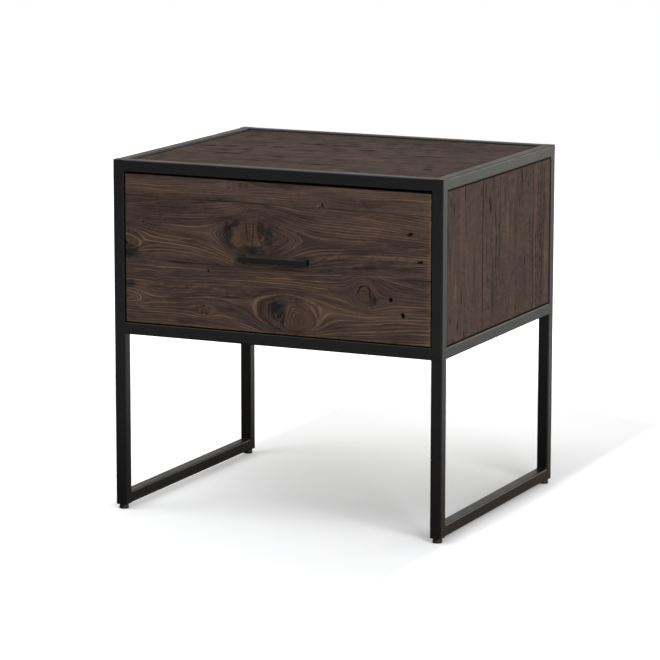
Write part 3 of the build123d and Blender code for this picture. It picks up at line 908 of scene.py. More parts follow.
FRONT_CALM = [
    ((450, 190), (120, 32), 0.45), ((110, 205), (110, 22), 0.40), ((460, 60), (90, 22), 0.25),
    ((322, 25), (26, 19), 0.40), ((5, 148), (42, 22), 0.40),
]
FRONT_CRACKS = [
    ((538, 211), (12, 0.5), 2), ((50, 168), (12, 0.45), -14), ((226, 168), (0.7, 14), 8),
    ((142, 25), (2.2, 1.2), 20), ((152, 24), (2.4, 1.2), -15), ((145, 37), (3.0, 0.9), 10),
    ((156, 33), (1.4, 1.6), 0), ((238, 166), (0.7, 18), -4), ((249, 158), (0.7, 12), 24),
    ((452, 60), (0.5, 7), 30), ((430, 86), (1.0, 7), -25), ((436, 91), (7, 0.9), 12),
    ((447, 88), (0.9, 6), 35), ((449, 77), (0.8, 8), 8), ((364, 220), (1.5, 3.6), 8),
    ((358, 216), (3.0, 0.8), 15),
]
print("Drawer front:", sum(len(knots) for knots in FRONT_KNOTS), "knots on", len(FRONT_BOARDS), "boards")

# %% [markdown]
# ## Drawing the drawer front
#
# Each board gets its own flow and its own random numbers. Then marks are laid over all three: broken
# seams, ragged stain, cracks, golden lines, and a lighter band along the right and the lower edge, which
# is partly worn wood and partly a painted highlight where light catches those edges. Smooth spots would
# look sprayed on, so waves are added to the stain before its edge is cut.

# %% Draw the marks of the drawer front
FRONT_SEEDS = (11, 5)
BOARD_SHIFT = 1.7
# Base, swing and wave length of a line that comes and goes
FRONT_SEAM_BREAKS = (0.35, 0.50, 120.0)
FRONT_SEAM_LIMITS = (0.0, 0.8)
FRONT_SEAM_REACH = 1.6
STAIN_RAGGED = (0.13, 0.50, 7.0)
STAIN_EDGE = (2.4, 0.42)
STAIN_END = 0.06
CRACK_DARK = 0.9
CRACK_GAIN = 1.5
CRACK_DEPTH = 0.8
GILT_BEND = (1.6, 0.30, 55.0)
GILT_AMOUNT = 0.55
# Amount of lightening on an edge, for worn wood and painted highlight together, and how far in it reaches
RIGHT_WEAR_AND_HIGHLIGHT = (0.55, 4.0)
LOWER_WEAR_AND_HIGHLIGHT = (0.90, 1.5)
WEAR_AND_HIGHLIGHT_BREAKS = (0.75, 0.35, 14.0)


def board_index(across, seams):
    """Number of a point's board: how many seams lie before it."""
    return np.searchsorted(np.array(seams), across)


def lay_front(face):
    """Three boards with their knots, and calm places in them."""
    which = board_index(face.across, FRONT_SEAMS)
    for board, (ring_width, contrast, tone) in enumerate(FRONT_BOARDS):
        rng = np.random.default_rng(FRONT_SEEDS[0] + board)
        flow = flow_round_knots(face.along, face.across, FRONT_KNOTS[board], ring_width, rng)
        lay_board(face, which == board, flow, board * BOARD_SHIFT, contrast, tone)
    for place, size, amount in FRONT_CALM:
        face.figure[..., CONTRAST] *= 1.0 - amount * face.spot(place, size)


def stain_front(face, rng):
    """Broken seams and ragged stain."""
    for seam in FRONT_SEAMS:
        broken = fading(face.along, FRONT_SEAM_BREAKS, rng, FRONT_SEAM_LIMITS)
        face.mark(HOLE_AND_SHADE, broken * near_line(face.across, seam, FRONT_SEAM_REACH))
    ragged = wander(face.along, face.across, STAIN_RAGGED, rng)
    gain, cut = STAIN_EDGE
    for place, size, amount in FRONT_STAINS:
        soft = face.spot(place, size)
        face.mark(BLUE, amount * unit(gain * (soft + ragged - cut)) * (soft > STAIN_END))


def crack_front(face):
    """Thin dark cracks."""
    for place, size, turn in FRONT_CRACKS:
        crack = face.spot(place, size, turn)
        face.mark(HOLE_AND_SHADE, CRACK_DARK * unit(CRACK_GAIN * crack))
        face.relief -= CRACK_DEPTH * crack


def gild_front(face, rng):
    """Golden lines that bend with the grain, and right and lower edges made lighter: worn to bare wood,
    and partly a painted highlight.
    """
    amount, squeeze, wave = GILT_BEND
    bent = face.across + amount * waves(face.along, face.across * squeeze, wave, rng)
    for place, size, turn in FRONT_GILT:
        face.gild(GILT_AMOUNT * spot(face.along, bent, place, size, turn))
    # Painted highlight along the right and lower edges, mixed with worn bare wood
    right_wear_and_highlight = RIGHT_WEAR_AND_HIGHLIGHT[0] * np.exp(-(face.length - face.along) / RIGHT_WEAR_AND_HIGHLIGHT[1])
    face.gild(right_wear_and_highlight + LOWER_WEAR_AND_HIGHLIGHT[0] * np.exp(-face.across / LOWER_WEAR_AND_HIGHLIGHT[1]))
    base, swing, wave = WEAR_AND_HIGHLIGHT_BREAKS
    face.figure[..., WEAR_AND_HIGHLIGHT] *= unit(base + swing * waves(face.along, face.across, wave, rng))


print("Drawer front:", len(FRONT_STAINS), "stains and", len(FRONT_CRACKS), "cracks")

# %% [markdown]
# ## Drawer front
#
# The front is one slab, as glued boards are. Its marks are drawn in a fixed order, because they share
# one chain of random numbers. It hangs a little low at its upper right corner, as it does in the
# picture. The whole drawer could be tilted for that, but it would then rub in its slides, so only the
# front's own points are lowered, most of all at that corner.

# %% Build the drawer front
FRONT_STEP = 1.5
FRONT_DROP = 2.2
FRONT_HEART_GAIN = 1.6
FRONT_RELIEF = (0.12, 0.50, 40.0)
FRONT_SINK = 0.25
FRONT_HOLE_DEPTH = 5.0


def look_of_front(along, across):
    """The face of the drawer front."""
    face = Face(along, across, FRONT_SINK)
    lay_front(face)
    rng = np.random.default_rng(FRONT_SEEDS[1])
    stain_front(face, rng)
    draw_hearts(face, FRONT_HEARTS, FRONT_HEART_GAIN)
    face.relief += wander(along, across, FRONT_RELIEF, rng)
    punch_holes(face, FRONT_HOLES, FRONT_HOLE_DEPTH)
    crack_front(face)
    gild_front(face, rng)
    return face


front_place = panel_place("drawer_front", (1, 0, 0), (0, 0, 1))
front_width, front_height, _ = front_place[2]
front_lines = (grid_lines(front_width, FRONT_STEP), grid_lines(front_height, FRONT_STEP, FRONT_SEAMS))
make_panel("drawer_front_boards", "drawer_front", "drawer", front_place, front_lines, look_of_front,
           FRONT_DROP)

# %% [markdown]
# ## Panels of narrow boards
#
# Sides, back, top and bottom are glued from narrow boards, whose rings are close and quiet. One function
# lays the boards: each draws its knots, its ring width and its tone from a fixed seed. Another one draws
# the marks, partly at random and partly from a list of what the picture shows. Their knots could be
# listed too, but few of them show in the picture, so chance places them.

# %% Lay narrow boards
BOARD_WIDTH = 76.0
BOARD_SINK = 0.3
BOARD_STEP = 0.15
BOARD_NUMBER = 1.3
BOARD_RINGS = (2.6, 4.2)
BOARD_CONTRAST = (0.7, 1.1)
SEEDS_PER_PANEL = 100
KNOTS_PER_BOARD = 2
KNOT_ASIDE = 60
KNOT_LENGTH = (25, 60)
KNOT_HEIGHT = (8, 16)
KNOT_RINGS = (2, 4)
SEAM_DEPTH = 0.8
SEAM_FAINT = 0.30
SEAM_OPEN = 2.2
SEAM_BREAKS = (0.85, 0.35, 150.0)
SEAM_LIMITS = (0.3, 1.0)
# How dark the painted shade along a panel's rim is
RIM_SHADE = 0.85


def random_knot(length, middle, rng):
    """A knot on or beside a board."""
    at = (rng.uniform(0, length), middle + rng.uniform(-KNOT_ASIDE, KNOT_ASIDE))
    reach = (rng.uniform(*KNOT_LENGTH), rng.uniform(*KNOT_HEIGHT))
    return {"at": at, "reach": reach, "rings": rng.uniform(*KNOT_RINGS)}


def lay_boards(face, seams, seed, quiet, tones):
    """Narrow boards without marks, each a little lower or higher than the next."""
    which = board_index(face.across, seams)
    for board, edge in enumerate([0.0, *seams]):
        rng = np.random.default_rng(seed * SEEDS_PER_PANEL + board)
        middle = edge + BOARD_WIDTH / 2
        knots = [random_knot(face.length, middle, rng) for _ in range(KNOTS_PER_BOARD)]
        flow = flow_round_knots(face.along, face.across, knots, rng.uniform(*BOARD_RINGS), rng)
        here = which == board
        contrast = quiet * rng.uniform(*BOARD_CONTRAST)
        lay_board(face, here, flow, seed + board * BOARD_NUMBER, contrast, rng.uniform(*tones))
        face.relief[here] -= rng.uniform(0.0, BOARD_STEP)


def cut_seams(face, seams, gaps, rng):
    """Grooves between the boards. gaps says how open each seam is."""
    for index, seam in enumerate(seams):
        groove = near_line(face.across, seam, SEAM_WIDTH / 2)
        face.relief -= SEAM_DEPTH * groove
        face.mark(HOLE_AND_SHADE, SEAM_FAINT * groove)
        broken = fading(face.along, SEAM_BREAKS, rng, SEAM_LIMITS)
        face.mark(HOLE_AND_SHADE, gaps.get(index, 0.0) * (near_line(face.across, seam, SEAM_OPEN) * broken))


def shade_rim(face, width):
    """Painted shade along the edges of a panel, as the gap and rails beside it would shade them, with
    some stain pooled there.
    """
    face.mark(HOLE_AND_SHADE, RIM_SHADE * unit(1.0 - from_rim(face.along, face.across) / width))


print("Narrow boards of about", BOARD_WIDTH, "mm")

# %% [markdown]
# ## Marks of narrow boards
#
# Streaks are long and soft, dashes stand in rows like the teeth of a saw, checks are dark lines that
# open and close along the grain, and nicks are short cuts in small bundles. Each kind has its own
# function. There are too many to list them all, so chance places the streaks and the nicks.

# %% Draw the marks of narrow boards
STREAK_TURN = 3
DASH_PITCH = 9.0
DASH_SHIFT = (3, 0.8)
DASH_SIZE = ((3.0, 6.5), (1.8, 3.0))
DASH_AMOUNT = (0.25, 0.65)
CHECK_WANDER = (2.0, 70.0)
CHECK_TAPER = 6.0
CHECK_BREAKS = (0.75, 0.60, 22.0)
CHECK_DEPTH = 0.5
NICK_MARGIN = (8, 4)
NICK_AMOUNT = (0.25, 0.9)
NICK_SHIFT = (0.5, 2.2)
NICK_TURN = 4
NICK_DEPTH = 0.4


def draw_streaks(face, width, listed, rng):
    """Long soft stains at random places."""
    for _ in range(listed["streaks"]):
        place = (rng.uniform(0, face.length), rng.uniform(0, width))
        size = [rng.uniform(*limits) for limits in listed["streak_size"]]
        amount = rng.uniform(*listed["streak_amount"])
        turn = rng.uniform(-STREAK_TURN, STREAK_TURN)
        face.mark(BLUE, amount * face.spot(place, size, turn))


def draw_dashes(face, rows, rng):
    """Rows of short dark dashes."""
    for start, end, line in rows:
        for at in np.arange(start, end, DASH_PITCH):
            place = [c + rng.uniform(-shift, shift) for c, shift in zip((at, line), DASH_SHIFT)]
            size = [rng.uniform(*limits) for limits in DASH_SIZE]
            face.mark(HOLE_AND_SHADE, rng.uniform(*DASH_AMOUNT) * firm(face.spot(place, size)))


def draw_checks(face, checks, width, rng):
    """Broken dark lines along the grain."""
    along = face.along
    for start, end, line, amount in checks:
        bent = line + CHECK_WANDER[0] * waves_along(along, CHECK_WANDER[1], rng)
        check = np.exp(-(((face.across - bent) / width) ** 2))
        check *= unit((along - start) / CHECK_TAPER) * unit((end - along) / CHECK_TAPER)
        check *= fading(along, CHECK_BREAKS, rng)
        face.mark(HOLE_AND_SHADE, amount * check)
        face.relief -= CHECK_DEPTH * amount * check


def draw_nicks(face, width, listed, rng):
    """Bundles of short cuts at random places."""
    ends, sides = NICK_MARGIN
    for _ in range(listed["nicks"]):
        place = (rng.uniform(ends, face.length - ends), rng.uniform(sides, width - sides))
        amount = rng.uniform(*NICK_AMOUNT)
        for _ in range(listed["bundle"]):
            size = [rng.uniform(*limits) for limits in listed["nick_size"]]
            beside = [c + rng.uniform(-s, s) * reach for c, s, reach in zip(place, NICK_SHIFT, size)]
            turn = rng.uniform(-NICK_TURN, NICK_TURN)
            nick = amount * firm(face.spot(beside, size, turn))
            face.mark(HOLE_AND_SHADE, nick)
            face.relief -= NICK_DEPTH * nick


print("Marks of narrow boards ready")

# %% [markdown]
# ## One face from all its marks
#
# The marks are laid in a fixed order, from the soft stains to the open seams and the painted shade along
# the rim.
# What is left to chance draws from one chain of random numbers, so the same panel comes out on every
# run. What a panel does not list itself comes from the plain marks, which keeps the lists short.

# %% Put the marks together
PLAIN_MARKS = {
    "hearts": [], "glints": [], "stains": [], "holes": [], "dashes": [], "checks": [],
    "streaks": 0, "streak_size": ((12, 55), (1.5, 5.0)), "streak_amount": (0.35, 0.95),
    "nicks": 0, "bundle": 1, "nick_size": ((4, 16), (0.8, 1.8)),
    "check_width": 2.2, "mottle": 0.0, "open_seams": {}, "rim_width": 2.4, "tones": (0.20, 0.55),
}
MOTTLE_STRETCH = 0.30
MOTTLE_LENGTH = 14.0
MOTTLE_WAVES = 16
MOTTLE_LEVEL = 0.45
GLINT_AMOUNT = 0.4
HEART_GAIN = 1.5
HOLE_DEPTH = 3.0


def look_of_boards(along, across, seams, seed, quiet, listed):
    """The face of a panel of narrow boards."""
    face = Face(along, across, BOARD_SINK)
    lay_boards(face, seams, seed, quiet, listed["tones"])
    width = seams[-1] + BOARD_WIDTH
    rng = np.random.default_rng(seed)
    for place, size, amount in listed["stains"]:
        face.mark(BLUE, amount * face.spot(place, size))
    draw_streaks(face, width, listed, rng)
    draw_dashes(face, listed["dashes"], rng)
    draw_checks(face, listed["checks"], listed["check_width"], rng)
    mottle = waves(along * MOTTLE_STRETCH, across, MOTTLE_LENGTH, rng, MOTTLE_WAVES) - MOTTLE_LEVEL
    face.mark(BLUE, listed["mottle"] * unit(mottle))
    for place, size in listed["glints"]:
        face.gild(GLINT_AMOUNT * face.spot(place, size))
    draw_hearts(face, listed["hearts"], HEART_GAIN)
    draw_nicks(face, width, listed, rng)
    punch_holes(face, listed["holes"], HOLE_DEPTH)
    cut_seams(face, seams, listed["open_seams"], rng)
    shade_rim(face, listed["rim_width"])
    return face


print("Plain marks:", ", ".join(PLAIN_MARKS))

# %% [markdown]
# ## What the panels show
#
# The right side and the top carry the marks that the picture shows, in millimetres along and across the
# boards. The top is seen at a shallow angle, so its marks are drawn wider. The other panels cannot be
# seen there, so little is listed for them and the rest is left to chance.

# %% Marks of each panel
RIGHT_MARKS = {
    "hearts": [((203, 185), (16, 8))],
    "glints": [((90, 36), (20, 5)), ((89, 440), (26, 4)), ((170, 262), (30, 4))],
    "stains": [((206, 186), (13, 6), 0.9), ((130, 415), (130, 12), 0.28), ((60, 200), (40, 8), 0.5),
               ((150, 225), (60, 7), 0.4), ((60, 345), (40, 9), 0.35), ((215, 20), (30, 14), 0.3)],
    "holes": [((24, 46), (7, 2.6), 4), ((6, 74), (8, 1.8), 0), ((3, 28), (4, 2.4), 0),
              ((37, 16), (5, 2.0), 0), ((203, 187), (8, 2.6), 0), ((214, 182), (5, 2.0), 10)],
    "dashes": [(8, 245, 403), (8, 245, 413), (8, 245, 422), (120, 245, 430), (10, 150, 394)],
    "checks": [(95, 215, 210, 0.75), (20, 120, 193, 0.45), (0, 70, 300, 0.40), (0, 250, 380, 0.45)],
    "nicks": 40,
    "streaks": 30,
    "streak_amount": (0.15, 0.60),
    "open_seams": {1: 1.0, 4: 0.5},
    "tones": (0.32, 0.58),
}
LEFT_MARKS = {
    "hearts": [((150, 300), (16, 8)), ((60, 120), (10, 5))],
    "nicks": 30,
    "streaks": 40,
    "open_seams": {3: 1.0},
}
BACK_MARKS = {
    "hearts": [((120, 200), (14, 8)), ((190, 430), (12, 6))],
    "nicks": 30,
    "streaks": 40,
    "open_seams": {2: 1.0},
}
TOP_MARKS = {
    "hearts": [((222, 320), (16, 8)), ((60, 130), (12, 6)), ((430, 330), (10, 6))],
    "stains": [((222, 318), (40, 9), 0.5), ((30, 232), (14, 8), 0.6), ((315, 279), (20, 8), 0.6)],
    "holes": [((30, 230), (8, 3.0), 0), ((500, 96), (6, 4.0), 0), ((314, 279), (14, 3.0), -3)],
    "checks": [
        (165, 285, 320, 1.0), (180, 275, 346, 0.6), (292, 338, 280, 1.0), (250, 280, 266, 0.8),
        (178, 212, 376, 0.7), (115, 168, 262, 0.9), (35, 112, 271, 0.6), (55, 130, 305, 0.5),
        (14, 48, 230, 1.0), (72, 104, 186, 1.0), (84, 140, 150, 0.8), (0, 24, 297, 0.7),
        (120, 360, 88, 0.5), (265, 345, 84, 0.7), (300, 334, 152, 0.6), (376, 404, 148, 0.6),
        (486, 514, 97, 1.0), (384, 414, 29, 0.9), (425, 445, 252, 0.5), (455, 484, 246, 0.5),
        (196, 220, 432, 0.6), (245, 265, 424, 0.5), (285, 305, 420, 0.5), (335, 356, 421, 0.5),
        (98, 120, 352, 0.7), (360, 400, 205, 0.4), (420, 520, 160, 0.35), (430, 500, 330, 0.4),
        (330, 420, 385, 0.35),
    ],
    "check_width": 5.0,
    "mottle": 0.85,
    "nicks": 30,
    "bundle": 3,
    "nick_size": ((12, 34), (0.8, 1.8)),
    "streaks": 90,
    "streak_size": ((15, 70), (3.0, 9.0)),
    "streak_amount": (0.15, 0.60),
    # A wide band of painted shade along the top's rim, standing for the dark line at the rails
    "rim_width": 10.0,
    "tones": (0.16, 0.50),
}
BOTTOM_MARKS = {"nicks": 10}
print("Top:", len(TOP_MARKS["checks"]), "checks listed")

# %% [markdown]
# ## Sides, back, top and bottom
#
# The sides and the back have upright boards, the top and the bottom have boards that run from left to
# right. One function makes all five from a table, because they differ only in their settings. The grid
# is finer across the boards than along them, as the grain changes faster that way.

# %% Build the panels
ALONG_STEP = 1.6
ACROSS_STEP = 0.62
# Directions right and up on the face, seed, contrast, grid step, marks, and whether boards are upright
PANELS = {
    "right_side": ((0, 1, 0), (0, 0, 1), 21, 0.22, 1.8, RIGHT_MARKS, True),
    "left_side": ((0, -1, 0), (0, 0, 1), 22, 0.22, 1.8, LEFT_MARKS, True),
    "back": ((-1, 0, 0), (0, 0, 1), 23, 0.22, 2.2, BACK_MARKS, True),
    "top": ((1, 0, 0), (0, 1, 0), 24, 0.22, 2.0, TOP_MARKS, False),
    "bottom": ((1, 0, 0), (0, -1, 0), 25, 0.40, 3.0, BOTTOM_MARKS, False),
}


def narrow_boards(stem, right, up, seed, quiet, step, marks, upright):
    """A panel of narrow boards in place of a CAD panel."""
    place = panel_place(stem + "_panel", right, up)
    width, height, _ = place[2]
    span, length = (width, height) if upright else (height, width)
    count = round(span / BOARD_WIDTH)
    seams = [span * i / count for i in range(1, count)]
    lines = [grid_lines(length, step * ALONG_STEP), grid_lines(span, step * ACROSS_STEP, seams)]
    if upright:
        lines.reverse()

    def look(first, second):
        along, across = (second, first) if upright else (first, second)
        return look_of_boards(along, across, seams, seed, quiet, {**PLAIN_MARKS, **marks})

    make_panel(stem + "_boards", stem + "_panel", "frame", place, lines, look)


for stem, settings in PANELS.items():
    narrow_boards(stem, *settings)

# %% [markdown]
# ## Ground welds
#
# The tubes are butted and welded. Where a rail ends against the rounded edge of a leg there is a small
# notch, which the welder fills and grinds flush, so that the frame reads as one piece. Each filler is a
# short prism: two flat sides that continue the faces of rail and leg, and a hollow one that sits on the
# leg's edge. The tubes could be merged into one mesh, but then the frame would no longer be separate
# pieces.

# %% Fill the joints
TUBE_RADIUS = 2.5 * MM
ARC_STEPS = 5
FILL_INSET = 0.5 * MM


def rail_run(name):
    """Lower and upper corner of a rail, and the axis that it runs along."""
    low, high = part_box(name)
    return low, high, 0 if high[0] - low[0] > high[1] - low[1] else 1


def notch_outline(end, direction, face, side):
    """Plan of a filler: the flat face, then the arc of the leg's edge back to the rail."""
    centre = (end + direction * TUBE_RADIUS, face - side * TUBE_RADIUS)
    outline = [(end, face)]
    for step in range(ARC_STEPS + 1):
        angle = pi / 2 * step / ARC_STEPS
        along = centre[0] - direction * TUBE_RADIUS * sin(angle)
        outline.append((along, centre[1] + side * TUBE_RADIUS * cos(angle)))
    return outline


def add_prism(points, faces, outline, axis, low, high):
    """An upright prism on a plan whose first coordinate runs along the given axis."""
    start, count = len(points), len(outline)
    for z in (low, high):
        for along, across in outline:
            points.append((along, across, z) if axis == 0 else (across, along, z))
    faces.append(tuple(range(start, start + count)))
    faces.append(tuple(range(start + 2 * count - 1, start + count - 1, -1)))
    for i in range(count):
        j = (i + 1) % count
        faces.append((start + i, start + j, start + count + j, start + count + i))


def solid_mesh(name, points, faces):
    """A closed mesh with all its faces turned outwards."""
    mesh = bpy.data.meshes.new(name)
    mesh.from_pydata(points, [], faces)
    work = bmesh.new()
    work.from_mesh(mesh)
    bmesh.ops.recalc_face_normals(work, faces=work.faces)
    work.to_mesh(mesh)
    work.free()
    return mesh


rails = [name for name in tubes if name.endswith("_rail")]
fill_points, fill_faces = [], []
for name in rails:
    low, high, axis = rail_run(name)
    for end, direction in ((low[axis], -1), (high[axis], 1)):
        for face, side in ((low[1 - axis], -1), (high[1 - axis], 1)):
            outline = notch_outline(end, direction, face, side)
            add_prism(fill_points, fill_faces, outline, axis, low[2] + FILL_INSET, high[2] - FILL_INSET)
fill_mesh = solid_mesh("joint_fills", fill_points, fill_faces)
show(fill_mesh, "joint_fills", frame_paint, "frame")
print("Joint fills", len(rails) * 4)

# %% [markdown]
# ## Small shapes by the dozen
#
# Geometry Nodes sets small shapes on points: drops of weld, screws and balls. Each tree has named inputs
# and a material. It is run once on a carrier, the result is kept as a plain mesh, and the carrier is
# removed. Copies could be made in a loop, but a tree varies and turns them by itself.

# %% Geometry Nodes helpers
def new_group(name, sockets):
    """A Geometry Nodes tree with named inputs. Returns the tree, its inputs and its output node."""
    group = bpy.data.node_groups.new(name, "GeometryNodeTree")
    group.interface.new_socket("Geometry", in_out="INPUT", socket_type="NodeSocketGeometry")
    for label, kind, value in sockets:
        socket = group.interface.new_socket(label, in_out="INPUT", socket_type="NodeSocket" + kind)
        socket.default_value = value
    group.interface.new_socket("Material", in_out="INPUT", socket_type="NodeSocketMaterial")
    group.interface.new_socket("Geometry", in_out="OUTPUT", socket_type="NodeSocketGeometry")
    source = {socket.name: Value(socket) for socket in add_node(group, "NodeGroupInput").outputs}
    return group, source, add_node(group, "NodeGroupOutput")


def geometry(kind, inputs, **settings):
    """Add a geometry node to the tree of its inputs and return its first output."""
    return output(tree_of(inputs.values()), "GeometryNode" + kind, inputs, **settings)


def finish_group(source, sink, instances):
    """Turn instances into real faces, shade them smooth and give them the material."""
    real = geometry("RealizeInstances", {"Geometry": instances})
    smooth = geometry("SetShadeSmooth", {0: real})
    fill(sink, {0: geometry("SetMaterial", {"Geometry": smooth, "Material": source["Material"]})})


def grow(name, group, points, edges, aims, values):
    """Run a Geometry Nodes tree on some points and return the plain mesh that comes out."""
    seeds = bpy.data.meshes.new(name + "_seeds")
    seeds.from_pydata([tuple(point) for point in points], edges, [])
    if aims is not None:
        store(seeds, "aim", np.array(aims))
    carrier = add_object(name + "_carrier", seeds)
    modifier = carrier.modifiers.new("grow", "NODES")
    modifier.node_group = group
    for socket in group.interface.items_tree:
        if socket.in_out == "INPUT" and socket.name in values:
            modifier[socket.identifier] = values[socket.name]
    grown = carrier.evaluated_get(bpy.context.evaluated_depsgraph_get())
    mesh = bpy.data.meshes.new_from_object(grown)
    mesh.name = name
    carrier.modifiers.remove(modifier)
    bpy.data.objects.remove(carrier)
    print(name, len(points), "points,", len(mesh.polygons), "faces")
    return mesh


print("Geometry Nodes helpers ready")

# %% [markdown]
# ## Weld beads
#
# In the corners that are not ground, a row of overlapping drops is left, like a stack of coins. The tree
# follows each joint line, sets a ball at every step and varies its size a little. The beads lie under
# the paint, so they take the frame's finish. A bump could hint at them, but they stand out from the
# tube.

# %% Grow beads along the joints
BEAD_RADIUS = 1.25 * MM
BEAD_PITCH = 1.0 * MM
BEAD_INSET = 3.0 * MM
BEAD_SIZES = {2: 0.8, 3: 1.15}
BEAD_SEED = 3
BEAD_DETAIL = 2


def bead_group():
    """Overlapping drops along a line."""
    sockets = [("Radius", "Float", BEAD_RADIUS), ("Pitch", "Float", BEAD_PITCH)]
    sockets.append(("Seed", "Int", BEAD_SEED))
    group, source, sink = new_group("weld_beads", sockets)
    line = geometry("MeshToCurve", {"Mesh": source["Geometry"]})
    steps = geometry("ResampleCurve", {"Curve": line, "Length": source["Pitch"]}, mode="LENGTH")
    drop = geometry("MeshIcoSphere", {"Radius": source["Radius"], "Subdivisions": BEAD_DETAIL})
    limits = {**BEAD_SIZES, "Seed": source["Seed"]}
    size = output(group, "FunctionNodeRandomValue", limits, 1, data_type="FLOAT")
    drops = geometry("InstanceOnPoints", {"Points": steps, "Instance": drop, "Scale": size})
    finish_group(source, sink, drops)
    return group


def bead_lines():
    """Start and end of each bead: the upper edge of base rails, the lower edge of the other rails except
    the top rails.
    """
    points, edges = [], []
    for name in rails:
        if "top" in name:
            continue
        low, high, axis = rail_run(name)
        height = high[2] if "base" in name else low[2]
        for end in (low[axis], high[axis]):
            for across in (low[1 - axis] + BEAD_INSET, high[1 - axis] - BEAD_INSET):
                points.append((end, across, height) if axis == 0 else (across, end, height))
            edges.append((len(points) - 2, len(points) - 1))
    return points, edges


bead_mesh = grow("weld_beads", bead_group(), *bead_lines(), None, {"Material": frame_paint})
show(bead_mesh, "weld_beads", frame_paint, "frame")

# %% [markdown]
# ## Plain pine of the drawer box
#
# The drawer box and the battens inside are unstained pine. Nobody sees them until the drawer opens, so
# the boards are quiet: growth rings round a heart that lies outside the board, stretched along its
# length, with fine fibres. The ring centre is a place in the table's own frame, so boards side by side
# differ.

# %% Dress the drawer box
PINE_PALE = (0.520, 0.345, 0.190)
PINE_LINE = (0.360, 0.205, 0.095)
PINE_SHADE = (0.440, 0.275, 0.145)
PINE_STRETCH = (0.35, 9.0)
PINE_FIBRES = 40
# Scale, detail and roughness of each noise
PINE_BEND = (1.0, 3.0, 0.5)
PINE_GRAIN = (1.0, 4.0, 0.65)
PINE_HEART = (-0.11, 0.27)
PINE_RINGS = 210.0
PINE_WANDER = 7.0
PINE_LATE = [(0.0, 0.0), (0.55, 0.25), (0.88, 1.0), (1.0, 0.0)]
PINE_LINES = 0.6
PINE_FINE = (0.3, 0.7)
PINE_ROUGH = (0.62, 0.5)
PINE_BUMP = (0.15, 0.0004)


def plain_pine(name, run):
    """Unstained pine whose boards run along X (0) or Y (1)."""
    material, tree, surface = new_material(name)
    stretch = [PINE_STRETCH[0] if axis == run else PINE_STRETCH[1] for axis in range(3)]
    bend = noise(object_place(tree, stretch), *PINE_BEND)
    x, y, z = split(object_place(tree))
    across = (y if run == 0 else x) - PINE_HEART[0]
    height = z - PINE_HEART[1]
    distance = maths("SQRT", across * across + height * height)
    late = ramp(maths("FRACT", distance * PINE_RINGS + bend * PINE_WANDER), PINE_LATE)
    fine = noise(object_place(tree, [s * PINE_FIBRES for s in stretch]), *PINE_GRAIN)
    share = ramp(fine, [(PINE_FINE[0], 0.0), (PINE_FINE[1], 1.0)])
    colour = mix_colours(share, PINE_SHADE, PINE_PALE)
    fill(surface, {
        "Base Color": mix_colours(late * PINE_LINES, colour, PINE_LINE),
        "Roughness": map_range(fine, PINE_FINE, PINE_ROUGH),
    })
    bump(surface, fine, *PINE_BUMP)
    return material


pine_across = plain_pine("plain_pine_across", 0)
pine_deep = plain_pine("plain_pine_deep", 1)
dress(["drawer_inner_front", "drawer_back", "drawer_bottom"], pine_across)
dress(["left_drawer_side", "right_drawer_side", "left_slide_batten", "right_slide_batten"], pine_deep)
print("Pine on the drawer box and battens")

# %% [markdown]
# ## Slides, cages and small parts
#
# The slides are rolled from zinc-plated strip, so their gloss streaks along their length. Cages are thin
# brighter strip, balls are hard polished steel, bumpers are rubber, and the plugs and feet are black
# plastic. One function makes the metals, with the streak's direction and the gloss as its settings.
# Plain grey would do from afar, but an open drawer shows these parts close by.

# %% Dress the metal and plastic parts
TONE_EDGE = [(0.35, 0.0), (0.65, 1.0)]
GLOSS_EDGE = (0.3, 0.7)
STREAK_SHARE, CLOUD_SHARE = 0.6, 0.4
# Scale, detail and roughness of each noise
METAL_STREAKS = (1.0, 4.0, 0.6)
METAL_CLOUDS = (45.0, 3.0, 0.5)
MOULD_GRAIN = (3.0, 0.6)
METAL_BUMP = (0.05, 0.0002)
MOULD_BUMP = (0.12, 0.0002)
MOULD_DULL = 0.6
ALONG_SLIDE = (300.0, 4.0, 300.0)
ON_BALL = (90.0, 90.0, 90.0)
ON_SCREW = (160.0, 160.0, 160.0)
# Bright and dull colour, gloss and stretch of each metal
METALS = {
    "zinc_slide": ((0.60, 0.61, 0.62), (0.46, 0.47, 0.48), (0.26, 0.42), ALONG_SLIDE),
    "bright_cage": ((0.68, 0.66, 0.60), (0.50, 0.48, 0.42), (0.22, 0.36), ALONG_SLIDE),
    "polished_ball": ((0.70, 0.70, 0.71), (0.58, 0.58, 0.59), (0.06, 0.14), ON_BALL),
    "zinc_screw": ((0.56, 0.55, 0.52), (0.38, 0.37, 0.34), (0.28, 0.45), ON_SCREW),
}
# Colour, gloss and scale of the grain of each moulding
MOULDINGS = {
    "bumper_rubber_black": ((0.020, 0.020, 0.021), (0.75, 0.9), 500.0),
    "plug_plastic_black": ((0.016, 0.016, 0.017), (0.45, 0.6), 400.0),
    "foot_plastic_black": ((0.012, 0.012, 0.013), (0.38, 0.55), 350.0),
}


def two_tone(surface, value, dull, bright, gloss):
    """Let a noise mix two colours and set the gloss."""
    fill(surface, {
        "Base Color": mix_colours(ramp(value, TONE_EDGE), dull, bright),
        "Roughness": map_range(value, GLOSS_EDGE, gloss),
    })


def plated_steel(name, bright, dull, gloss, stretch):
    """Bright metal with streaks, clouds and fine scratches."""
    material, tree, surface = new_material(name)
    streaks = noise(object_place(tree, stretch), *METAL_STREAKS)
    clouds = noise(object_place(tree), *METAL_CLOUDS)
    two_tone(surface, streaks * STREAK_SHARE + clouds * CLOUD_SHARE, dull, bright, gloss)
    fill(surface, {"Metallic": 1.0})
    bump(surface, streaks, *METAL_BUMP)
    return material


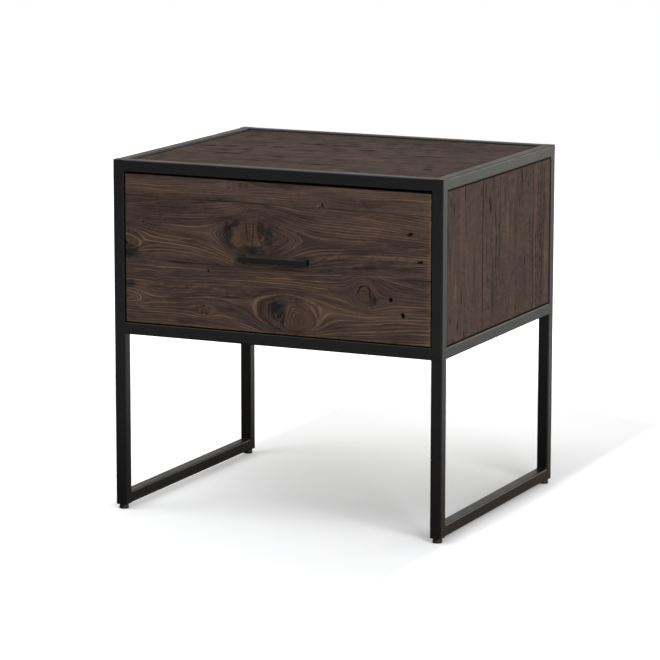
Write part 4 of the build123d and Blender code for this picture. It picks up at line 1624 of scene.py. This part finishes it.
def moulded(name, colour, gloss, grain_scale):
    """Plastic or rubber with a fine moulded grain."""
    material, tree, surface = new_material(name)
    fine = noise(object_place(tree), grain_scale, *MOULD_GRAIN)
    dull = tuple(channel * MOULD_DULL for channel in colour)
    two_tone(surface, fine, dull, colour, gloss)
    bump(surface, fine, *MOULD_BUMP)
    return material


metals = [plated_steel(name, *settings) for name, settings in METALS.items()]
slide_steel, cage_steel, ball_steel, screw_steel = metals
rubber, plug_plastic, foot_plastic = [moulded(name, *settings) for name, settings in MOULDINGS.items()]
slides = [name for name in cad_nodes if name.endswith(("_outer_slide", "_middle_slide", "_inner_slide"))]
dress(slides, slide_steel)
dress(["outer_slide_cages", "inner_slide_cages"], cage_steel)
dress(["slide_bumpers"], rubber)
dress(["foot_inserts"], plug_plastic)
dress([name for name in cad_nodes if name.endswith("_foot_stud")], screw_steel)
print("Metal, rubber and plastic parts dressed,", len(slides), "slide members")

# %% [markdown]
# ## Where balls and screws sit
#
# The CAD model keeps balls and screws plain, because hundreds of small faces would make it slow. Each of
# its solids still tells the place, the axis and the size. A node holds many solids, so its points are
# first sorted into groups that share faces.

# %% Read the seats from the CAD solids
SAME_PLACE = 6
END_ZONE = 0.4 * MM


def islands(name):
    """Points of each separate solid in a CAD node."""
    mesh = cad_nodes[name].data
    places = np.array([vertex.co for vertex in mesh.vertices])
    keys, index = np.unique(places.round(SAME_PLACE), axis=0, return_inverse=True)
    corners = index.reshape(-1)[np.array([face.vertices for face in mesh.polygons])]
    group = np.arange(len(keys))
    while True:
        lowest = group.copy()
        np.minimum.at(lowest, corners.ravel(), np.repeat(group[corners].min(axis=1), corners.shape[1]))
        lowest = lowest[lowest]
        if (lowest == group).all():
            return [keys[group == label] for label in np.unique(group)]
        group = lowest


def screw_seat(points):
    """Head centre, outward direction, head radius and length of a screw."""
    low, high = points.min(axis=0), points.max(axis=0)
    axis = int(np.argmax(high - low))
    others = [i for i in range(3) if i != axis]
    middle = (low + high) / 2
    reach = np.abs(points[:, others] - middle[others]).max(axis=1)
    at_high = reach[points[:, axis] > high[axis] - END_ZONE].max()
    at_low = reach[points[:, axis] < low[axis] + END_ZONE].max()
    head, aim = middle.copy(), np.zeros(3)
    head[axis] = high[axis] if at_high >= at_low else low[axis]
    aim[axis] = 1.0 if at_high >= at_low else -1.0
    return head, aim, max(at_high, at_low), (high - low)[axis]


print("Panel screws:", len(islands("panel_screws")))

# %% [markdown]
# ## A screw and a ball to copy
#
# The screws are countersunk, with a cross recess for the driver. A cone and a cylinder make the screw,
# and two crossed boxes are cut out of its head. A picture of a recess would look flat when the drawer is
# open. Apart from its length, a screw's sizes are shares of its head's radius, so one tree serves them
# all.

# %% Shape a screw and a ball
HEAD_DEPTH = 0.55
HEAD_SIDES = 20
SHANK_RADIUS = 0.5
SHANK_SIDES = 12
SHANK_PLAY = 0.96
SLOT_WIDTH = 0.24
SLOT_LENGTH = 1.1
BALL_SEGMENTS, BALL_RINGS = 20, 12
# What the trees start from. Each node sets its own
USUAL_HEAD, USUAL_LENGTH, USUAL_BALL = 3.5 * MM, 16.0 * MM, 1.5 * MM


def placed(group, source, shape):
    """Set a shape on every point, turned to the point's aim."""
    aim = output(group, "GeometryNodeInputNamedAttribute", {"Name": "aim"}, data_type="FLOAT_VECTOR")
    turn = output(group, "FunctionNodeAlignRotationToVector", {"Vector": aim}, axis="Z")
    inputs = {"Points": source["Geometry"], "Instance": shape, "Rotation": turn}
    return geometry("InstanceOnPoints", inputs)


def moved(shape, offset):
    """A shape moved up or down its own axis."""
    place = output(shape.tree, "ShaderNodeCombineXYZ", {"Z": offset})
    return geometry("Transform", {"Geometry": shape, "Translation": place})


def screw_group():
    """A countersunk screw whose head lies at the origin and whose shank points down."""
    sockets = [("Head Radius", "Float", USUAL_HEAD), ("Length", "Float", USUAL_LENGTH)]
    group, source, sink = new_group("cross_screws", sockets)
    radius, length = source["Head Radius"], source["Length"]
    depth = radius * HEAD_DEPTH
    shank = radius * SHANK_RADIUS
    cone = {"Vertices": HEAD_SIDES, "Radius Top": radius, "Radius Bottom": shank, "Depth": depth}
    head = moved(geometry("MeshCone", cone), depth * -1.0)
    settings = {"operation": "DIFFERENCE", "solver": "EXACT"}
    cut = add_node(group, "GeometryNodeMeshBoolean", {"Mesh 1": head}, **settings)
    for long_axis in ("X", "Y"):
        size = {"X": radius * SLOT_WIDTH, "Y": radius * SLOT_WIDTH, "Z": depth}
        size[long_axis] = radius * SLOT_LENGTH
        box = output(group, "ShaderNodeCombineXYZ", size)
        fill(cut, {"Mesh 2": geometry("MeshCube", {"Size": box})})
    stem = {"Vertices": SHANK_SIDES, "Radius": shank * SHANK_PLAY, "Depth": length - depth}
    stem = moved(geometry("MeshCylinder", stem), (length + depth) * -0.5)
    joined = add_node(group, "GeometryNodeJoinGeometry")
    for part in (stem, Value(cut.outputs[0])):
        fill(joined, {0: part})
    finish_group(source, sink, placed(group, source, Value(joined.outputs[0])))
    return group


def ball_group():
    """A ball on every point."""
    group, source, sink = new_group("slide_balls", [("Radius", "Float", USUAL_BALL)])
    inputs = {"Segments": BALL_SEGMENTS, "Rings": BALL_RINGS, "Radius": source["Radius"]}
    finish_group(source, sink, placed(group, source, geometry("MeshUVSphere", inputs)))
    return group


screws, balls = screw_group(), ball_group()
print("Trees", screws.name, "and", balls.name)

# %% [markdown]
# ## Round balls and screw heads
#
# Here the seats get their balls and screws, turned to their axes. Each result takes the place of a plain
# CAD node and rides on the same body, so the drawer's screws move with the drawer. One object for each
# ball would be easier to move by hand, but so many objects would make the scene slow.

# %% Grow balls and screws
UPWARD = (0.0, 0.0, 1.0)
SCREW_NODES = {
    "panel_screws": "frame", "cabinet_slide_screws": "frame", "drawer_front_screws": "drawer",
    "drawer_slide_screws": "drawer", "handle_screws": "drawer",
}
BALL_NODES = {"outer_slide_balls": "outer_cages", "inner_slide_balls": "inner_cages"}
for node, body in SCREW_NODES.items():
    heads, aims, radii, lengths = zip(*[screw_seat(points) for points in islands(node)])
    values = {"Head Radius": float(radii[0]), "Length": float(lengths[0]), "Material": screw_steel}
    mesh = grow(node + "_cut", screws, heads, [], aims, values)
    show(mesh, node + "_cut", screw_steel, body, [node])
for node, body in BALL_NODES.items():
    solids = islands(node)
    centres = [(points.min(axis=0) + points.max(axis=0)) / 2 for points in solids]
    radius = float((solids[0].max(axis=0) - solids[0].min(axis=0)).min() / 2)
    values = {"Radius": radius, "Material": ball_steel}
    mesh = grow(node + "_round", balls, centres, [], [UPWARD] * len(centres), values)
    show(mesh, node + "_round", ball_steel, body, [node])

# %% [markdown]
# ## Levelling feet
#
# Each foot is a small moulded pad on a threaded stud. The pad is a turned shape: a flat sole with a soft
# edge, a straight rim to grip and a slight taper to the neck. A lathe turns one outline round its axis,
# so the pad is smooth where the CAD solid has flats.

# %% Turn the feet
FOOT_OUTLINE = (
    (0.0, 0.0), (0.80, 0.0), (0.93, 0.045), (0.99, 0.12), (1.0, 0.20), (1.0, 0.42),
    (0.985, 0.47), (0.955, 0.50), (0.955, 0.56), (0.935, 0.60), (0.91, 0.97), (0.88, 1.0), (0.0, 1.0),
)
FOOT_STEPS = 48
FOOT_SHARP = radians(40)


def turned(name, outline, low, high):
    """A shape turned round an upright axis in a box. The outline starts and ends on that axis."""
    x, y = (low[0] + high[0]) / 2, (low[1] + high[1]) / 2
    radius, height = (high[0] - low[0]) / 2, high[2] - low[2]
    points = [(x, y, low[2] + outline[0][1] * height)]
    for r, z in outline[1:-1]:
        for step in range(FOOT_STEPS):
            angle = 2 * pi * step / FOOT_STEPS
            points.append((x + r * radius * cos(angle), y + r * radius * sin(angle), low[2] + z * height))
    points.append((x, y, low[2] + outline[-1][1] * height))
    faces = []
    rings = len(outline) - 2
    for step in range(FOOT_STEPS):
        ahead = (step + 1) % FOOT_STEPS
        faces.append((0, 1 + ahead, 1 + step))
        for ring in range(rings - 1):
            a, b = 1 + ring * FOOT_STEPS, 1 + (ring + 1) * FOOT_STEPS
            faces.append((a + step, a + ahead, b + ahead, b + step))
        top = 1 + (rings - 1) * FOOT_STEPS
        faces.append((len(points) - 1, top + step, top + ahead))
    mesh = solid_mesh(name, points, faces)
    mesh.polygons.foreach_set("use_smooth", [True] * len(mesh.polygons))
    mesh.set_sharp_from_angle(angle=FOOT_SHARP)
    return mesh


for corner_name in ("front_left", "front_right", "back_left", "back_right"):
    node = corner_name + "_foot_pad"
    pad = turned(node + "_turned", FOOT_OUTLINE, *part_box(node))
    show(pad, node + "_turned", foot_plastic, corner_name + "_foot", [node])
print("Feet turned")
